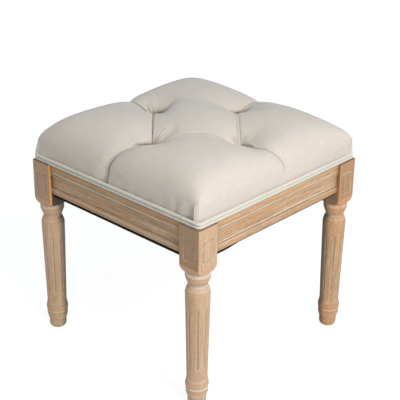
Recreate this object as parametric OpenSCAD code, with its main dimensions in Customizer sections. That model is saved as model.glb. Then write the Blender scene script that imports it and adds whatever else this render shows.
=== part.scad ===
// Square upholstered stool: tufted seat on a moulded apron with four turned and fluted legs.
// Millimetres, +Z up. The origin is on the floor under the middle of the stool.
// The front rail is on -Y and the right rail on +X.

/* [Frame] */
// Width of the frame over the leg blocks
frame_w = 450; // [400:1:560]
// Depth of the frame over the leg blocks
frame_d = 450; // [400:1:560]
// Height of the tops of the rails and leg blocks above the floor
frame_h = 380; // [340:1:440]

/* [Leg block] */
// Side of the square block at the top of each leg
block_w = 48; // [47:0.5:54]
// Length of the square block above the turned shoulder
block_h = 77; // [74:1:84]
// Height of the rounded shoulder under the block
shoulder_h = 14; // [12:0.5:18]
// Bevel along the outer edges of the block
block_bevel = 0.5; // [0.4:0.1:1.5]
// Flat cut on the inner edge of the block, where the hanger bolt goes in
block_flat = 10; // [8:0.5:14]
// Width of the routed line of the block's panel
panel_line_w = 1.6; // [1:0.1:2.5]
// Depth of the routed line of the block's panel
panel_line_depth = 0.9; // [0.5:0.1:1.5]
// Plain margin between the panel line and the block's sides
panel_side_margin = 10; // [8:0.5:14]
// Plain margin above the panel line
panel_top_margin = 24; // [20:1:30]
// Plain margin between the panel line and the turned shoulder
panel_foot_margin = 9; // [4:0.5:12]

/* [Leg turning] */
// Height of the collar, cup, neck and bead between the shoulder and the shaft
cap_h = 45; // [40:1:52]
// Radius of the shaft at its top
shaft_top_r = 23.4; // [22:0.1:23.6]
// Radius of the shaft at its foot
shaft_foot_r = 19.7; // [18:0.1:20.5]
// Height of the turned rings and the foot
foot_group_h = 64; // [56:1:72]
// Radius of the larger foot ring
ring_r = 22.3; // [21.5:0.1:24]
// Radius of the foot below the rings
foot_r = 17.6; // [16:0.1:18]
// Radius of the flat that the foot stands on
foot_flat_r = 9; // [7:0.5:13]
// Height of the rounded tip of the foot
foot_tip_h = 10; // [6:0.5:12]
// Number of flutes round the shaft
flute_count = 8; // [6:1:10]
// Width of the round cutter of a flute
flute_cutter_d = 5.4; // [4:0.2:7]
// Depth of a flute
flute_depth = 1.5; // [0.8:0.1:2.2]
// Plain shaft above the flutes
flute_top_margin = 30; // [22:1:40]
// Plain shaft below the flutes
flute_foot_margin = 24; // [16:1:32]

/* [Apron rails] */
// Height of a rail
rail_h = 62; // [58:1:70]
// Thickness of a rail
rail_t = 22; // [20:0.5:26]
// How far the rail's face lies behind the face of the leg blocks
rail_inset = 4.5; // [3:0.5:6]
// How far the flat field lies behind the bands above and below it
field_depth = 2.6; // [1.5:0.1:3.5]
// Height of the plain band at the top of the rail
top_band_h = 18; // [14:0.5:20]
// Height of the round band at the foot of the rail
foot_band_h = 14.5; // [12:0.5:17]
// Width of the fine quirk beside each band
quirk_w = 1.6; // [1:0.1:2.4]
// Depth of the fine quirk beside each band
quirk_depth = 1.4; // [0.8:0.1:2]
// Width of the small fillet between a quirk and the flat field
fillet_w = 2.2; // [1.5:0.1:3]
// Depth of the small fillet's step
fillet_depth = 0.8; // [0.5:0.1:1.2]

/* [Joinery] */
// Diameter of a dowel
dowel_d = 8; // [6:0.5:9]
// Length of a dowel, half in the rail and half in the leg
dowel_len = 40; // [30:1:44]
// Height of the lower dowel above the foot of the rail
dowel_low = 18; // [14:1:22]
// Height of the upper dowel above the foot of the rail
dowel_high = 44; // [38:1:50]
// Height of a corner block
corner_h = 44; // [40:1:52]
// Length of the corner block along each rail
corner_reach = 80; // [76:1:92]
// Blunt end of the corner block's wings
corner_tip = 10; // [8:0.5:14]
// Diameter of a hanger bolt
bolt_d = 8; // [6:0.5:10]
// Depth of the hanger bolt in the leg
bolt_bite = 30; // [24:1:34]
// Diameter of the washer
washer_d = 24; // [20:0.5:28]
// Thickness of the washer
washer_t = 2; // [1.5:0.1:3]
// Width of the hex nut across its flats
nut_af = 13; // [12.5:0.5:17]
// Thickness of the hex nut
nut_t = 6.5; // [5:0.5:8]
// Diameter of the wood screws
screw_d = 4; // [3:0.1:5]
// Diameter of the screws' heads
screw_head_d = 8; // [7:0.5:9.5]
// Thickness of the screws' heads
screw_head_t = 2.6; // [2:0.1:3.2]
// Depth of the corner block screws in the rail
rail_screw_bite = 15; // [10:1:17]
// Depth of the seat screws in the seat board
seat_screw_bite = 10; // [6:0.5:11]

/* [Seat] */
// Thickness of the plywood seat board
board_t = 12; // [9:0.5:15]
// Diameter of the twine holes in the seat board
twine_hole_d = 8; // [6:0.5:10]
// Diameter of the vent holes in the seat board
vent_hole_d = 18; // [12:1:24]
// Thickness of the cover's fabric with its lining
cover_t = 1.5; // [1.2:0.1:2]
// Width of the hem that is turned in under the seat board
hem_w = 27; // [22:1:32]
// Thickness of the wadding over the foam
wadding_t = 6; // [4:0.5:9]
// Height of the seat's upright side above the frame
side_h = 29; // [24:1:34]
// How much higher the upright side is at the corners
corner_lift = 9; // [4:1:16]
// Rise of the crown above the upright side
crown_rise = 60; // [50:1:66]
// Distance from the middle to the left and right tufts
tuft_reach_x = 116; // [100:1:130]
// Distance from the middle to the front and back tufts
tuft_reach_y = 116; // [100:1:130]
// Depth of a tuft's pit
tuft_depth = 29; // [20:1:31]
// Spread of a tuft's pit
tuft_spread = 39; // [30:1:48]
// Depth of the channels between neighbouring tufts
channel_depth = 8.5; // [6:0.5:11]
// Spread of the channels between neighbouring tufts
channel_spread = 28; // [20:1:34]
// Depth of the pleat from each tuft to its side
pleat_depth = 10; // [6:0.5:12]
// Spread of the pleat from each tuft to its side
pleat_spread = 22; // [14:1:28]
// How far the pleat is drawn into the side of the seat
side_pleat_depth = 4; // [2:0.5:6]
// How far the sides are drawn in between the corners
side_draw = 2; // [0.5:0.5:4]

/* [Welt and dust cover] */
// Diameter of each of the two rounds of the welt
welt_d = 6.3; // [5.5:0.1:7]
// Diameter of the filler cord in each round
welt_cord_d = 4.4; // [3.6:0.1:4.8]
// How far the welt lies behind the face of the leg blocks
welt_inset = 1; // [0.5:0.1:2]
// Radius of the welt's middle line at the corners
welt_corner_r = 6; // [4.5:0.5:12]
// Thickness of the dust cover with its turned edge
dust_t = 1.6; // [1:0.1:2]
// How far the dust cover's edge lies behind the face of the rails
dust_inset = 0.5; // [0:0.5:4]

/* [Hidden] */
$fn = 48;

// Overrun of every cut past the surface it starts from
cut = 1;
// Running gap round bolts, screws, dowels, cords and staples
fit_gap = 0.15;
// Gap between soft layers and what they lie against
soft_gap = 0.3;
// Gap between the corner block's notch and the leg
notch_gap = 1;
// Facets of the small round parts
small_fn = 24;

// Heights
rail_z = frame_h - rail_h;
shoulder_z = frame_h - block_h - shoulder_h;
shaft_top_z = shoulder_z - cap_h;
corner_z = frame_h - corner_h;
bolt_z = corner_z + corner_h / 2;
board_z = frame_h + cover_t;
board_top = board_z + board_t;
edge_z = frame_h + side_h;

// Distances from the face of the leg blocks
rail_back = rail_inset + rail_t;
rail_mid = rail_inset + rail_t / 2;
notch = block_w + notch_gap;
corner_end = rail_back + corner_reach;

// Outlines of the turning: [share of the radius, share of the height]
cap_shares = [
    [1, 0], [0.983, 0.033], [0.966, 0.078], [0.949, 0.124],
    [0.93, 0.133], [0.93, 0.147],
    [0.919, 0.164], [0.889, 0.211], [0.85, 0.256], [0.816, 0.293], [0.786, 0.311],
    [0.744, 0.32], [0.744, 0.387],
    [0.786, 0.411], [0.863, 0.502], [0.932, 0.6], [0.97, 0.664], [0.991, 0.693], [1, 0.722],
    [1.017, 0.733], [1.017, 1]
];
foot_shares = [
    [0.789, 0.313], [0.803, 0.33], [0.834, 0.352], [0.861, 0.388],
    [0.843, 0.392], [0.843, 0.405],
    [0.883, 0.423], [0.915, 0.458], [0.937, 0.495], [0.946, 0.562], [0.955, 0.64], [0.957, 0.672],
    [0.933, 0.678], [0.933, 0.695],
    [0.978, 0.703], [0.996, 0.735], [1, 0.773], [0.982, 0.81], [0.955, 0.855], [0.942, 0.88],
    [0.919, 0.884], [0.919, 0.9],
    [0.933, 0.906], [0.91, 0.935], [0.892, 0.97]
];
// Steps in each round stretch of an outline
arc_steps = 8;

// Corner block and screws
wing_screw_from_end = 22;
wing_screw_seat = 14;
wing_screw_edge = 11;
seat_screw_from_leg = 24;
seat_screw_from_rail = 17.5;
seat_screw_sink = 10;
bolt_tail = 4;
recess_w = 1;
recess_share = 0.6;
recess_depth_share = 0.5;

// Seat
// How much larger the radius of the board's corners is than that of the welt
corner_ease = 6;
welt_half_w = frame_w / 2 - welt_inset - welt_d / 2;
welt_half_d = frame_d / 2 - welt_inset - welt_d / 2;
seat_half_w = welt_half_w - welt_d / 2 - soft_gap;
seat_half_d = welt_half_d - welt_d / 2 - soft_gap;
board_corner_r = welt_corner_r + corner_ease;
vent_reach_share = 0.42;
// Places of the seat's grid lines: from the middle to a tuft, and from a tuft to the edge
inner_shares = [0, 0.1, 0.28, 0.5, 0.72, 0.9, 1];
outer_shares = [0, 0.12, 0.34, 0.58, 0.78, 0.92, 1];
inner_steps = len(inner_shares) - 1;
half_steps = inner_steps + len(outer_shares) - 1;
// Every grid line is used for the outside of the cover, every second one for the layers in it
fine = 1;
coarse = 2;
roll_power = 8;
dome_share = 0.18;
tuft_power = 1.3;
corner_power = 10;
// Share of a corner's radius by which the corner of a square is cut back
corner_cut_share = 1 - sqrt(0.5);
edge_power = 6;
lift_power = 2;
// Share of the drawn-in shape that is left at the top of the seat board
foot_draw_share = 0.25;
// How far the board's edge lies behind the inside of the cover
board_back = 3;

// Twine
twine_d = 2;
twine_bore_d = 6;
knot_d = 5;
disc_d = 22;
disc_t = 3;

// Staples
staple_w = 10;
staple_leg = 6;
staple_wire_w = 1.2;
staple_wire_t = 0.7;
staple_count = 5;
staple_span_share = 0.6;
cover_staple_from_edge = 4;
dust_staple_from_edge = 9;
dust_leg_gap = 2;

wood = "#c8a583";
limewood = "#b9966f";
steel = "#b9bcc0";
linen = "#d9d1c5";
piping = "#d3d1c3";

// Places and frames

// Side k has its face in the plane y = 0 and its middle at x = 0, and +Y goes inwards
function side_len(k) = k % 2 == 0 ? frame_w : frame_d;
function side_dist(k) = k % 2 == 0 ? frame_d / 2 : frame_w / 2;
function rail_len(k) = side_len(k) - 2 * block_w;
module at_side(k) {
    rotate([0, 0, 90 * k]) translate([0, -side_dist(k), 0]) children();
}

// Corner frame: the outer corner of the block is at the origin, and +X and +Y go inwards
module at_corner(sx, sy) {
    translate([sx * frame_w / 2, sy * frame_d / 2, 0])
        mirror([sx > 0 ? 1 : 0, 0, 0]) mirror([0, sy > 0 ? 1 : 0, 0]) children();
}
module at_corners() {
    for (sx = [-1, 1]) {
        for (sy = [-1, 1]) {
            at_corner(sx, sy) children();
        }
    }
}

// Line from the outer corner of a block inwards at 45 degrees, as +Z
module along_diagonal() {
    translate([0, 0, bolt_z]) rotate([0, 90, 45]) children();
}
flat_on_diagonal = (2 * block_w - block_flat) / sqrt(2);
face_on_diagonal = (rail_back + corner_end) / sqrt(2);

tufts = [[tuft_reach_x, 0], [-tuft_reach_x, 0], [0, tuft_reach_y], [0, -tuft_reach_y]];
module at_tufts() {
    for (t = tufts) {
        translate([t.x, t.y, 0]) children();
    }
}

// Legs

function foot_tip() = [
    for (i = [0:arc_steps])
        let (a = -90 + 90 * i / arc_steps)
        [foot_flat_r + (foot_r - foot_flat_r) * cos(a), foot_tip_h + foot_tip_h * sin(a)]
];
function shoulder_arc() = let (r = block_w / sqrt(2), c = cap_shares[len(cap_shares) - 1].x * shaft_top_r) [
    for (i = [0:arc_steps])
        let (a = -90 + 90 * i / arc_steps)
        [c + (r - c) * cos(a), shoulder_z + shoulder_h + shoulder_h * sin(a)]
];
module turned_outline() {
    polygon(concat(
        [[0, 0]],
        foot_tip(),
        [for (p = foot_shares) [p.x * ring_r, p.y * foot_group_h]],
        [[shaft_foot_r, foot_group_h]],
        [for (p = cap_shares) [p.x * shaft_top_r, shaft_top_z + p.y * cap_h]],
        shoulder_arc(),
        [[block_w, shoulder_z + shoulder_h], [block_w, frame_h], [0, frame_h]]
    ));
}

// One flute: a round cutter that follows the taper of the shaft
function shaft_r(z) = shaft_foot_r
    + (shaft_top_r - shaft_foot_r) * (z - foot_group_h) / (shaft_top_z - foot_group_h);
module flute() {
    low = foot_group_h + flute_foot_margin;
    high = shaft_top_z - flute_top_margin;
    out = flute_cutter_d / 2 - flute_depth;
    tilt = atan((shaft_r(high) - shaft_r(low)) / (high - low));
    translate([shaft_r(low) + out, 0, low]) rotate([0, tilt, 0]) {
        cylinder(h = (high - low) / cos(tilt), d = flute_cutter_d, $fn = small_fn);
        sphere(d = flute_cutter_d, $fn = small_fn);
        translate([0, 0, (high - low) / cos(tilt)]) sphere(d = flute_cutter_d, $fn = small_fn);
    }
}

// The routed line round the panel on the block's face in the plane y = 0
module panel_line() {
    low = shoulder_z + shoulder_h + panel_foot_margin;
    high = frame_h - panel_top_margin;
    left = panel_side_margin;
    right = block_w - panel_side_margin;
    depth = panel_line_depth + cut;
    for (z = [low, high - panel_line_w]) {
        translate([left, -cut, z]) cube([right - left, depth, panel_line_w]);
    }
    for (x = [left, right - panel_line_w]) {
        translate([x, -cut, low]) cube([panel_line_w, depth, high - low]);
    }
}

// The block's square section: bevelled outside, with a wide flat on the inner edge
module block_outline() {
    b = block_bevel;
    polygon([
        [b, 0], [block_w - b, 0], [block_w, b], [block_w, block_w - block_flat],
        [block_w - block_flat, block_w], [b, block_w], [0, block_w - b], [0, b]
    ]);
}

module leg() {
    color(wood) difference() {
        intersection() {
            translate([block_w / 2, block_w / 2, 0]) rotate_extrude() turned_outline();
            linear_extrude(frame_h) block_outline();
        }
        for (i = [0:flute_count - 1]) {
            translate([block_w / 2, block_w / 2, 0]) rotate([0, 0, 360 * i / flute_count]) flute();
        }
        panel_line();
        mirror([1, -1, 0]) panel_line();
        dowel_bores_in_leg();
        mirror([1, -1, 0]) dowel_bores_in_leg();
        along_diagonal() translate([0, 0, flat_on_diagonal - bolt_bite - fit_gap])
            cylinder(h = bolt_bite + block_flat, d = bolt_d + 2 * fit_gap, $fn = small_fn);
    }
}
module dowel_bores_in_leg() {
    for (z = [dowel_low, dowel_high]) {
        translate([block_w - dowel_len / 2 - fit_gap, rail_mid, rail_z + z]) rotate([0, 90, 0])
            cylinder(h = dowel_len / 2 + fit_gap + cut, d = dowel_d + 2 * fit_gap, $fn = small_fn);
    }
}
module leg_front_left() { at_corner(-1, -1) leg(); }
module leg_front_right() { at_corner(1, -1) leg(); }
module leg_back_left() { at_corner(-1, 1) leg(); }
module leg_back_right() { at_corner(1, 1) leg(); }

// Apron rails

// Section of a rail: x is the depth behind the face of the leg blocks, y the height
module rail_section() {
    f = rail_inset;
    top_band = rail_h - top_band_h;
    polygon(concat(
        [[rail_back, 0], [rail_back, rail_h], [f, rail_h], [f, top_band]],
        [[f + quirk_depth, top_band], [f + quirk_depth, top_band - quirk_w]],
        [[f + fillet_depth, top_band - quirk_w]],
        [
            for (i = [0:arc_steps])
                let (a = 90 * i / arc_steps)
                [
                    f + fillet_depth + (field_depth - fillet_depth) * (1 - cos(a)),
                    top_band - quirk_w - fillet_w - field_depth * sin(a)
                ]
        ],
        [[f + field_depth, foot_band_h + quirk_w + fillet_w]],
        [for (y = [quirk_w + fillet_w, quirk_w]) [f + field_depth - fillet_depth, foot_band_h + y]],
        [for (y = [quirk_w, 0]) [f + field_depth + quirk_depth, foot_band_h + y]],
        [
            for (i = [0:arc_steps])
                let (a = 90 - 180 * i / arc_steps)
                [f + field_depth * (1 - cos(a)), foot_band_h / 2 + foot_band_h / 2 * sin(a)]
        ]
    ));
}

module rail(k) {
    l = rail_len(k);
    color(wood) difference() {
        translate([-l / 2, 0, rail_z]) rotate([90, 0, 90]) linear_extrude(l) rail_section();
        for (s = [-1, 1]) {
            for (z = [dowel_low, dowel_high]) {
                translate([s * l / 2, rail_mid, rail_z + z]) rotate([0, 90, 0])
                    cylinder(h = dowel_len + 2 * fit_gap, d = dowel_d + 2 * fit_gap, center = true, $fn = small_fn);
            }
            for (z = wing_screw_heights()) {
                translate([s * (side_len(k) / 2 - wing_screw_x), rail_back - rail_screw_bite - fit_gap, z])
                    rotate([-90, 0, 0])
                    cylinder(h = rail_screw_bite + fit_gap + cut, d = screw_d + 2 * fit_gap, $fn = small_fn);
            }
        }
        dust_staple_places(k) staple(fit_gap);
    }
}
module rail_front() { at_side(0) rail(0); }
module rail_right() { at_side(1) rail(1); }
module rail_back_side() { at_side(2) rail(2); }
module rail_left() { at_side(3) rail(3); }

module rail_dowels() {
    color(limewood) for (k = [0:3]) {
        at_side(k) for (s = [-1, 1]) {
            for (z = [dowel_low, dowel_high]) {
                translate([s * rail_len(k) / 2, rail_mid, rail_z + z]) rotate([0, 90, 0])
                    cylinder(h = dowel_len, d = dowel_d, center = true, $fn = small_fn);
            }
        }
    }
}

// Corner blocks with their screws and bolts

wing_screw_x = corner_end - wing_screw_from_end;
function wing_screw_heights() = [corner_z + wing_screw_edge, frame_h - wing_screw_edge];
seat_screw_place = [notch + seat_screw_from_leg, rail_back + seat_screw_from_rail];

module corner_block() {
    color(limewood) difference() {
        translate([0, 0, corner_z]) linear_extrude(corner_h) polygon([
            [notch, rail_back], [corner_end - corner_tip, rail_back],
            [corner_end - corner_tip, rail_back + corner_tip],
            [rail_back + corner_tip, corner_end - corner_tip],
            [rail_back, corner_end - corner_tip], [rail_back, notch], [notch, notch]
        ]);
        wing_screw_bores();
        mirror([1, -1, 0]) wing_screw_bores();
        along_diagonal() cylinder(h = face_on_diagonal + cut, d = bolt_d + 2 * fit_gap, $fn = small_fn);
        translate([seat_screw_place.x, seat_screw_place.y, corner_z - cut]) {
            cylinder(h = corner_h + 2 * cut, d = screw_d + 2 * fit_gap, $fn = small_fn);
            cylinder(h = seat_screw_sink + cut, d = screw_head_d + 2 * fit_gap, $fn = small_fn);
        }
    }
}
module wing_screw_bores() {
    for (z = wing_screw_heights()) {
        translate([wing_screw_x, rail_back - cut, z]) rotate([-90, 0, 0])
            cylinder(h = corner_reach, d = screw_d + 2 * fit_gap, $fn = small_fn);
        translate([wing_screw_x, rail_back + wing_screw_seat, z]) rotate([-90, 0, 0])
            cylinder(h = corner_reach, d = screw_head_d + 2 * fit_gap, $fn = small_fn);
    }
}
module corner_block_front_left() { at_corner(-1, -1) corner_block(); }
module corner_block_front_right() { at_corner(1, -1) corner_block(); }
module corner_block_back_left() { at_corner(-1, 1) corner_block(); }
module corner_block_back_right() { at_corner(1, 1) corner_block(); }

// A pan-head screw with a cross recess: the seat of its head is at z = 0 and its shank goes down
module screw(shank) {
    difference() {
        union() {
            translate([0, 0, -shank]) cylinder(h = shank, d = screw_d, $fn = small_fn);
            cylinder(h = screw_head_t, d = screw_head_d, $fn = small_fn);
        }
        for (a = [0, 90]) {
            rotate([0, 0, a]) translate([0, 0, screw_head_t])
                cube([screw_head_d * recess_share, recess_w, 2 * screw_head_t * recess_depth_share], center = true);
        }
    }
}

module corner_block_screws() {
    color(steel) at_corners() {
        wing_screws();
        mirror([1, -1, 0]) wing_screws();
    }
}
module wing_screws() {
    for (z = wing_screw_heights()) {
        translate([wing_screw_x, rail_back + wing_screw_seat, z]) rotate([-90, 0, 0])
            screw(wing_screw_seat + rail_screw_bite);
    }
}

module seat_screws() {
    color(steel) at_corners() translate([seat_screw_place.x, seat_screw_place.y, corner_z + seat_screw_sink])
        rotate([180, 0, 0]) screw(board_z - corner_z - seat_screw_sink + seat_screw_bite);
}

module hanger_bolts() {
    length = face_on_diagonal + washer_t + nut_t + bolt_tail - flat_on_diagonal + bolt_bite;
    color(steel) at_corners() along_diagonal() translate([0, 0, flat_on_diagonal - bolt_bite])
        cylinder(h = length, d = bolt_d, $fn = small_fn);
}

module bolt_washers() {
    color(steel) at_corners() along_diagonal() translate([0, 0, face_on_diagonal]) difference() {
        cylinder(h = washer_t, d = washer_d);
        translate([0, 0, -cut]) cylinder(h = washer_t + 2 * cut, d = bolt_d + 2 * fit_gap, $fn = small_fn);
    }
}

module bolt_nuts() {
    color(steel) at_corners() along_diagonal() translate([0, 0, face_on_diagonal + washer_t]) difference() {
        cylinder(h = nut_t, d = nut_af / cos(30), $fn = 6);
        translate([0, 0, -cut]) cylinder(h = nut_t + 2 * cut, d = bolt_d + 2 * fit_gap, $fn = small_fn);
    }
}

// Seat board

module rounded_plate(half_w, half_d, r, t) {
    linear_extrude(t) {
        square([2 * half_w, 2 * (half_d - r)], center = true);
        square([2 * (half_w - r), 2 * half_d], center = true);
        for (sx = [-1, 1]) {
            for (sy = [-1, 1]) {
                translate([sx * (half_w - r), sy * (half_d - r)]) circle(r = r);
            }
        }
    }
}

module seat_board() {
    half_w = seat_half_w - cover_t - board_back;
    half_d = seat_half_d - cover_t - board_back;
    color("#cdb286") difference() {
        translate([0, 0, board_z]) rounded_plate(half_w, half_d, board_corner_r, board_t);
        at_tufts() translate([0, 0, board_z - cut])
            cylinder(h = board_t + 2 * cut, d = twine_hole_d, $fn = small_fn);
        for (sx = [-1, 1]) {
            for (sy = [-1, 1]) {
                translate([sx * half_w * vent_reach_share, sy * half_d * vent_reach_share, board_z - cut])
                    cylinder(h = board_t + 2 * cut, d = vent_hole_d);
            }
        }
        at_corners() translate([seat_screw_place.x, seat_screw_place.y, board_z - cut])
            cylinder(h = seat_screw_bite + fit_gap + cut, d = screw_d + 2 * fit_gap, $fn = small_fn);
        cover_staple_places() staple(fit_gap);
    }
}

// Padded layers: nested skins over one grid, whose lines run through the tufts, pleats and channels

function grid_at(k, reach, half) = let (a = abs(k))
    sign(k) * (a <= inner_steps ? reach * inner_shares[a] : reach + (half - reach) * outer_shares[a - inner_steps]);
function roll(s) = sqrt(max(0, 1 - pow(abs(s), roll_power)));
function fade(distance, spread) = exp(-abs(distance) / spread);
function past(distance, spread) = min(1, max(0, distance / spread + 1 / 2));

// Height of the crown over the point (x, y) of a seat with these half sizes
function crown_z(x, y, half_w, half_d) = let (
    u = x / half_w,
    v = y / half_d,
    reach = (tuft_reach_x + tuft_reach_y) / 2,
    off_channel = (abs(x) / tuft_reach_x + abs(y) / tuft_reach_y - 1) * reach / sqrt(2),
    dome = 1 + dome_share * (1 - u * u) * (1 - v * v),
    pits = [for (t = tufts) exp(-pow(norm([x - t.x, y - t.y]) / tuft_spread, tuft_power))] * [1, 1, 1, 1],
    pleats = fade(x, pleat_spread) * past(abs(y) - tuft_reach_y, pleat_spread)
        + fade(y, pleat_spread) * past(abs(x) - tuft_reach_x, pleat_spread)
) edge_z + corner_lift * pow(abs(u * v), lift_power) + roll(u) * roll(v) * (
    crown_rise * dome - channel_depth * fade(off_channel, channel_spread)
    - pleat_depth * pleats - tuft_depth * pits
);

// Plan of the seat's edge: rounded corners, and sides drawn in by the given share
function plan(x, y, half_w, half_d, drawn) = let (
    u = abs(x / half_w),
    v = abs(y / half_d),
    round_off = welt_corner_r * corner_cut_share * pow(u * v, corner_power),
    draw_x = drawn * pow(u, edge_power) * (side_draw * (1 - v * v) + side_pleat_depth * fade(y, pleat_spread)),
    draw_y = drawn * pow(v, edge_power) * (side_draw * (1 - u * u) + side_pleat_depth * fade(x, pleat_spread))
) [x - sign(x) * (round_off + draw_x), y - sign(y) * (round_off + draw_y)];

// A skin lies "depth" inside the cover's outer face. "step" picks every one or every second grid line
function cells(step) = 2 * half_steps / step;
function grid_x(i, depth) = grid_at(i, tuft_reach_x, seat_half_w - depth);
function grid_y(j, depth) = grid_at(j, tuft_reach_y, seat_half_d - depth);
function edge_point(i, j, depth, drawn) =
    plan(grid_x(i, depth), grid_y(j, depth), seat_half_w - depth, seat_half_d - depth, drawn);
function top_point(i, j, depth) = concat(
    edge_point(i, j, depth, 1),
    [crown_z(grid_x(i, depth), grid_y(j, depth), seat_half_w - depth, seat_half_d - depth) - depth]
);
function top_points(step, depth) = [
    for (j = [-half_steps:step:half_steps])
        for (i = [-half_steps:step:half_steps])
            top_point(i, j, depth)
];
// Grid numbers round the edge, from the front left corner and anticlockwise from above
function edge_grid(step) = let (h = half_steps) concat(
    [for (i = [-h:step:h - step]) [i, -h]],
    [for (j = [-h:step:h - step]) [h, j]],
    [for (i = [h:-step:step - h]) [i, h]],
    [for (j = [h:-step:step - h]) [-h, j]]
);
function ring(step, depth, z, drawn, inset) = [
    for (g = edge_grid(step))
        let (p = edge_point(g.x, g.y, depth, drawn))
        [
            sign(p.x) * min(abs(p.x), seat_half_w - inset),
            sign(p.y) * min(abs(p.y), seat_half_d - inset),
            z
        ]
];

// Each square of the grid is cut along the channels' direction
function top_faces(step) = let (n = cells(step)) [
    for (j = [0:n - 1])
        for (i = [0:n - 1])
            let (
                a = j * (n + 1) + i,
                b = a + 1,
                c = b + n + 1,
                d = a + n + 1
            )
            each (2 * i + 1 - n) * (2 * j + 1 - n) > 0 ? [[a, d, b], [b, d, c]] : [[a, c, b], [a, d, c]]
];
function top_edge(step) = let (n = cells(step)) concat(
    [for (i = [0:n - 1]) i],
    [for (j = [0:n - 1]) j * (n + 1) + n],
    [for (i = [0:n - 1]) n * (n + 1) + n - i],
    [for (j = [0:n - 1]) (n - j) * (n + 1)]
);
function span(start, count) = [for (i = [0:count - 1]) start + i];
function band(upper, lower) = [
    for (i = [0:len(upper) - 1])
        let (n = (i + 1) % len(upper))
        each [[upper[i], upper[n], lower[n]], [upper[i], lower[n], lower[i]]]
];
// A band from a ring with twice as many points
function halving_band(upper, lower) = [
    for (i = [0:len(lower) - 1])
        let (n = (i + 1) % len(lower), a = upper[2 * i], b = upper[2 * i + 1], c = upper[(2 * i + 2) % len(upper)])
        each [[a, b, lower[i]], [b, c, lower[n]], [b, lower[n], lower[i]]]
];
function turned_over(faces) = [for (f = faces) [f[2], f[1], f[0]]];

// A skin: the crown, then rings down its side. Each ring is [height, share of the draw, inset]
function skin_points(step, depth, rings) = concat(
    top_points(step, depth),
    [for (r = rings) each ring(step, depth, r[0], r[1], r[2])]
);
function skin_size(step, count) = pow(cells(step) + 1, 2) + count * 4 * cells(step);
function ring_span(step, k, first) = span(first + skin_size(step, k), 4 * cells(step));
function skin_faces(step, count, first) = concat(
    [for (f = top_faces(step)) [f[0] + first, f[1] + first, f[2] + first]],
    band([for (e = top_edge(step)) e + first], ring_span(step, 0, first)),
    count < 2 ? [] : [for (k = [1:count - 1]) each band(ring_span(step, k - 1, first), ring_span(step, k, first))]
);

// Seat cover: outer skin, inner skin, and the edge of the hem between them
module seat_cover() {
    foot = foot_draw_share;
    outer = [[board_top, foot, 0], [frame_h, 0, 0], [frame_h, 0, hem_w]];
    inner = [[board_top, foot, cover_t], [board_z, 0, cover_t], [board_z, 0, hem_w]];
    first = skin_size(fine, len(outer));
    color(linen) difference() {
        polyhedron(
            points = concat(skin_points(fine, 0, outer), skin_points(coarse, cover_t, inner)),
            faces = concat(
                skin_faces(fine, len(outer), 0),
                turned_over(skin_faces(coarse, len(inner), first)),
                halving_band(ring_span(fine, len(outer) - 1, 0), ring_span(coarse, len(inner) - 1, first))
            )
        );
        cover_staple_places() staple(fit_gap);
    }
}

// Wadding: a blanket over the foam that ends on the seat board
module wadding() {
    out = cover_t + soft_gap;
    in = out + wadding_t;
    first = skin_size(coarse, 1);
    color("#f2f0ea") difference() {
        polyhedron(
            points = concat(
                skin_points(coarse, out, [[board_top, foot_draw_share, out]]),
                skin_points(coarse, in, [[board_top, foot_draw_share, in]])
            ),
            faces = concat(
                skin_faces(coarse, 1, 0),
                turned_over(skin_faces(coarse, 1, first)),
                band(ring_span(coarse, 0, 0), ring_span(coarse, 0, first))
            )
        );
        twine_bores();
    }
}

module foam_pad() {
    in = cover_t + wadding_t + 2 * soft_gap;
    last = skin_size(coarse, 1);
    rim = ring_span(coarse, 0, 0);
    color("#ead9a0") difference() {
        polyhedron(
            points = concat(skin_points(coarse, in, [[board_top, foot_draw_share, in]]), [[0, 0, board_top]]),
            faces = concat(
                skin_faces(coarse, 1, 0),
                [for (i = [0:len(rim) - 1]) [rim[i], rim[(i + 1) % len(rim)], last]]
            )
        );
        twine_bores();
    }
}
module twine_bores() {
    at_tufts() translate([0, 0, board_top - cut])
        cylinder(h = side_h + crown_rise, d = twine_bore_d, $fn = small_fn);
}

// Tufting twine, knotted under the discs that bear on the seat board
module tuft_twine() {
    top = crown_z(tuft_reach_x, 0, seat_half_w, seat_half_d) - cover_t - soft_gap;
    low = board_z - disc_t - fit_gap;
    color("#efe9dc") at_tufts() {
        translate([0, 0, low - knot_d / 2]) cylinder(h = top - low + knot_d / 2, d = twine_d, $fn = small_fn);
        translate([0, 0, low - knot_d / 2]) sphere(d = knot_d, $fn = small_fn);
    }
}

module twine_discs() {
    color("#e8e6e0") at_tufts() translate([0, 0, board_z - disc_t]) difference() {
        cylinder(h = disc_t, d = disc_d);
        translate([0, 0, -cut]) cylinder(h = disc_t + 2 * cut, d = twine_d + 2 * fit_gap, $fn = small_fn);
    }
}

// Welt

// A closed round tube along the foot of the seat
module welt_loop(d, z) {
    r = welt_corner_r;
    for (sx = [-1, 1]) {
        for (sy = [-1, 1]) {
            translate([sx * (welt_half_w - r), sy * (welt_half_d - r), z])
                rotate([0, 0, sx > 0 ? (sy > 0 ? 0 : 270) : (sy > 0 ? 90 : 180)])
                rotate_extrude(angle = 90) translate([r, 0]) circle(d = d, $fn = small_fn);
        }
        translate([sx * welt_half_w, r - welt_half_d, z]) rotate([-90, 0, 0])
            cylinder(h = 2 * (welt_half_d - r), d = d, $fn = small_fn);
        translate([r - welt_half_w, sx * welt_half_d, z]) rotate([0, 90, 0])
            cylinder(h = 2 * (welt_half_w - r), d = d, $fn = small_fn);
    }
}
welt_low_z = frame_h + soft_gap + welt_d / 2;
welt_pitch_share = 0.97;
welt_high_z = welt_low_z + welt_d * welt_pitch_share;

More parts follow.
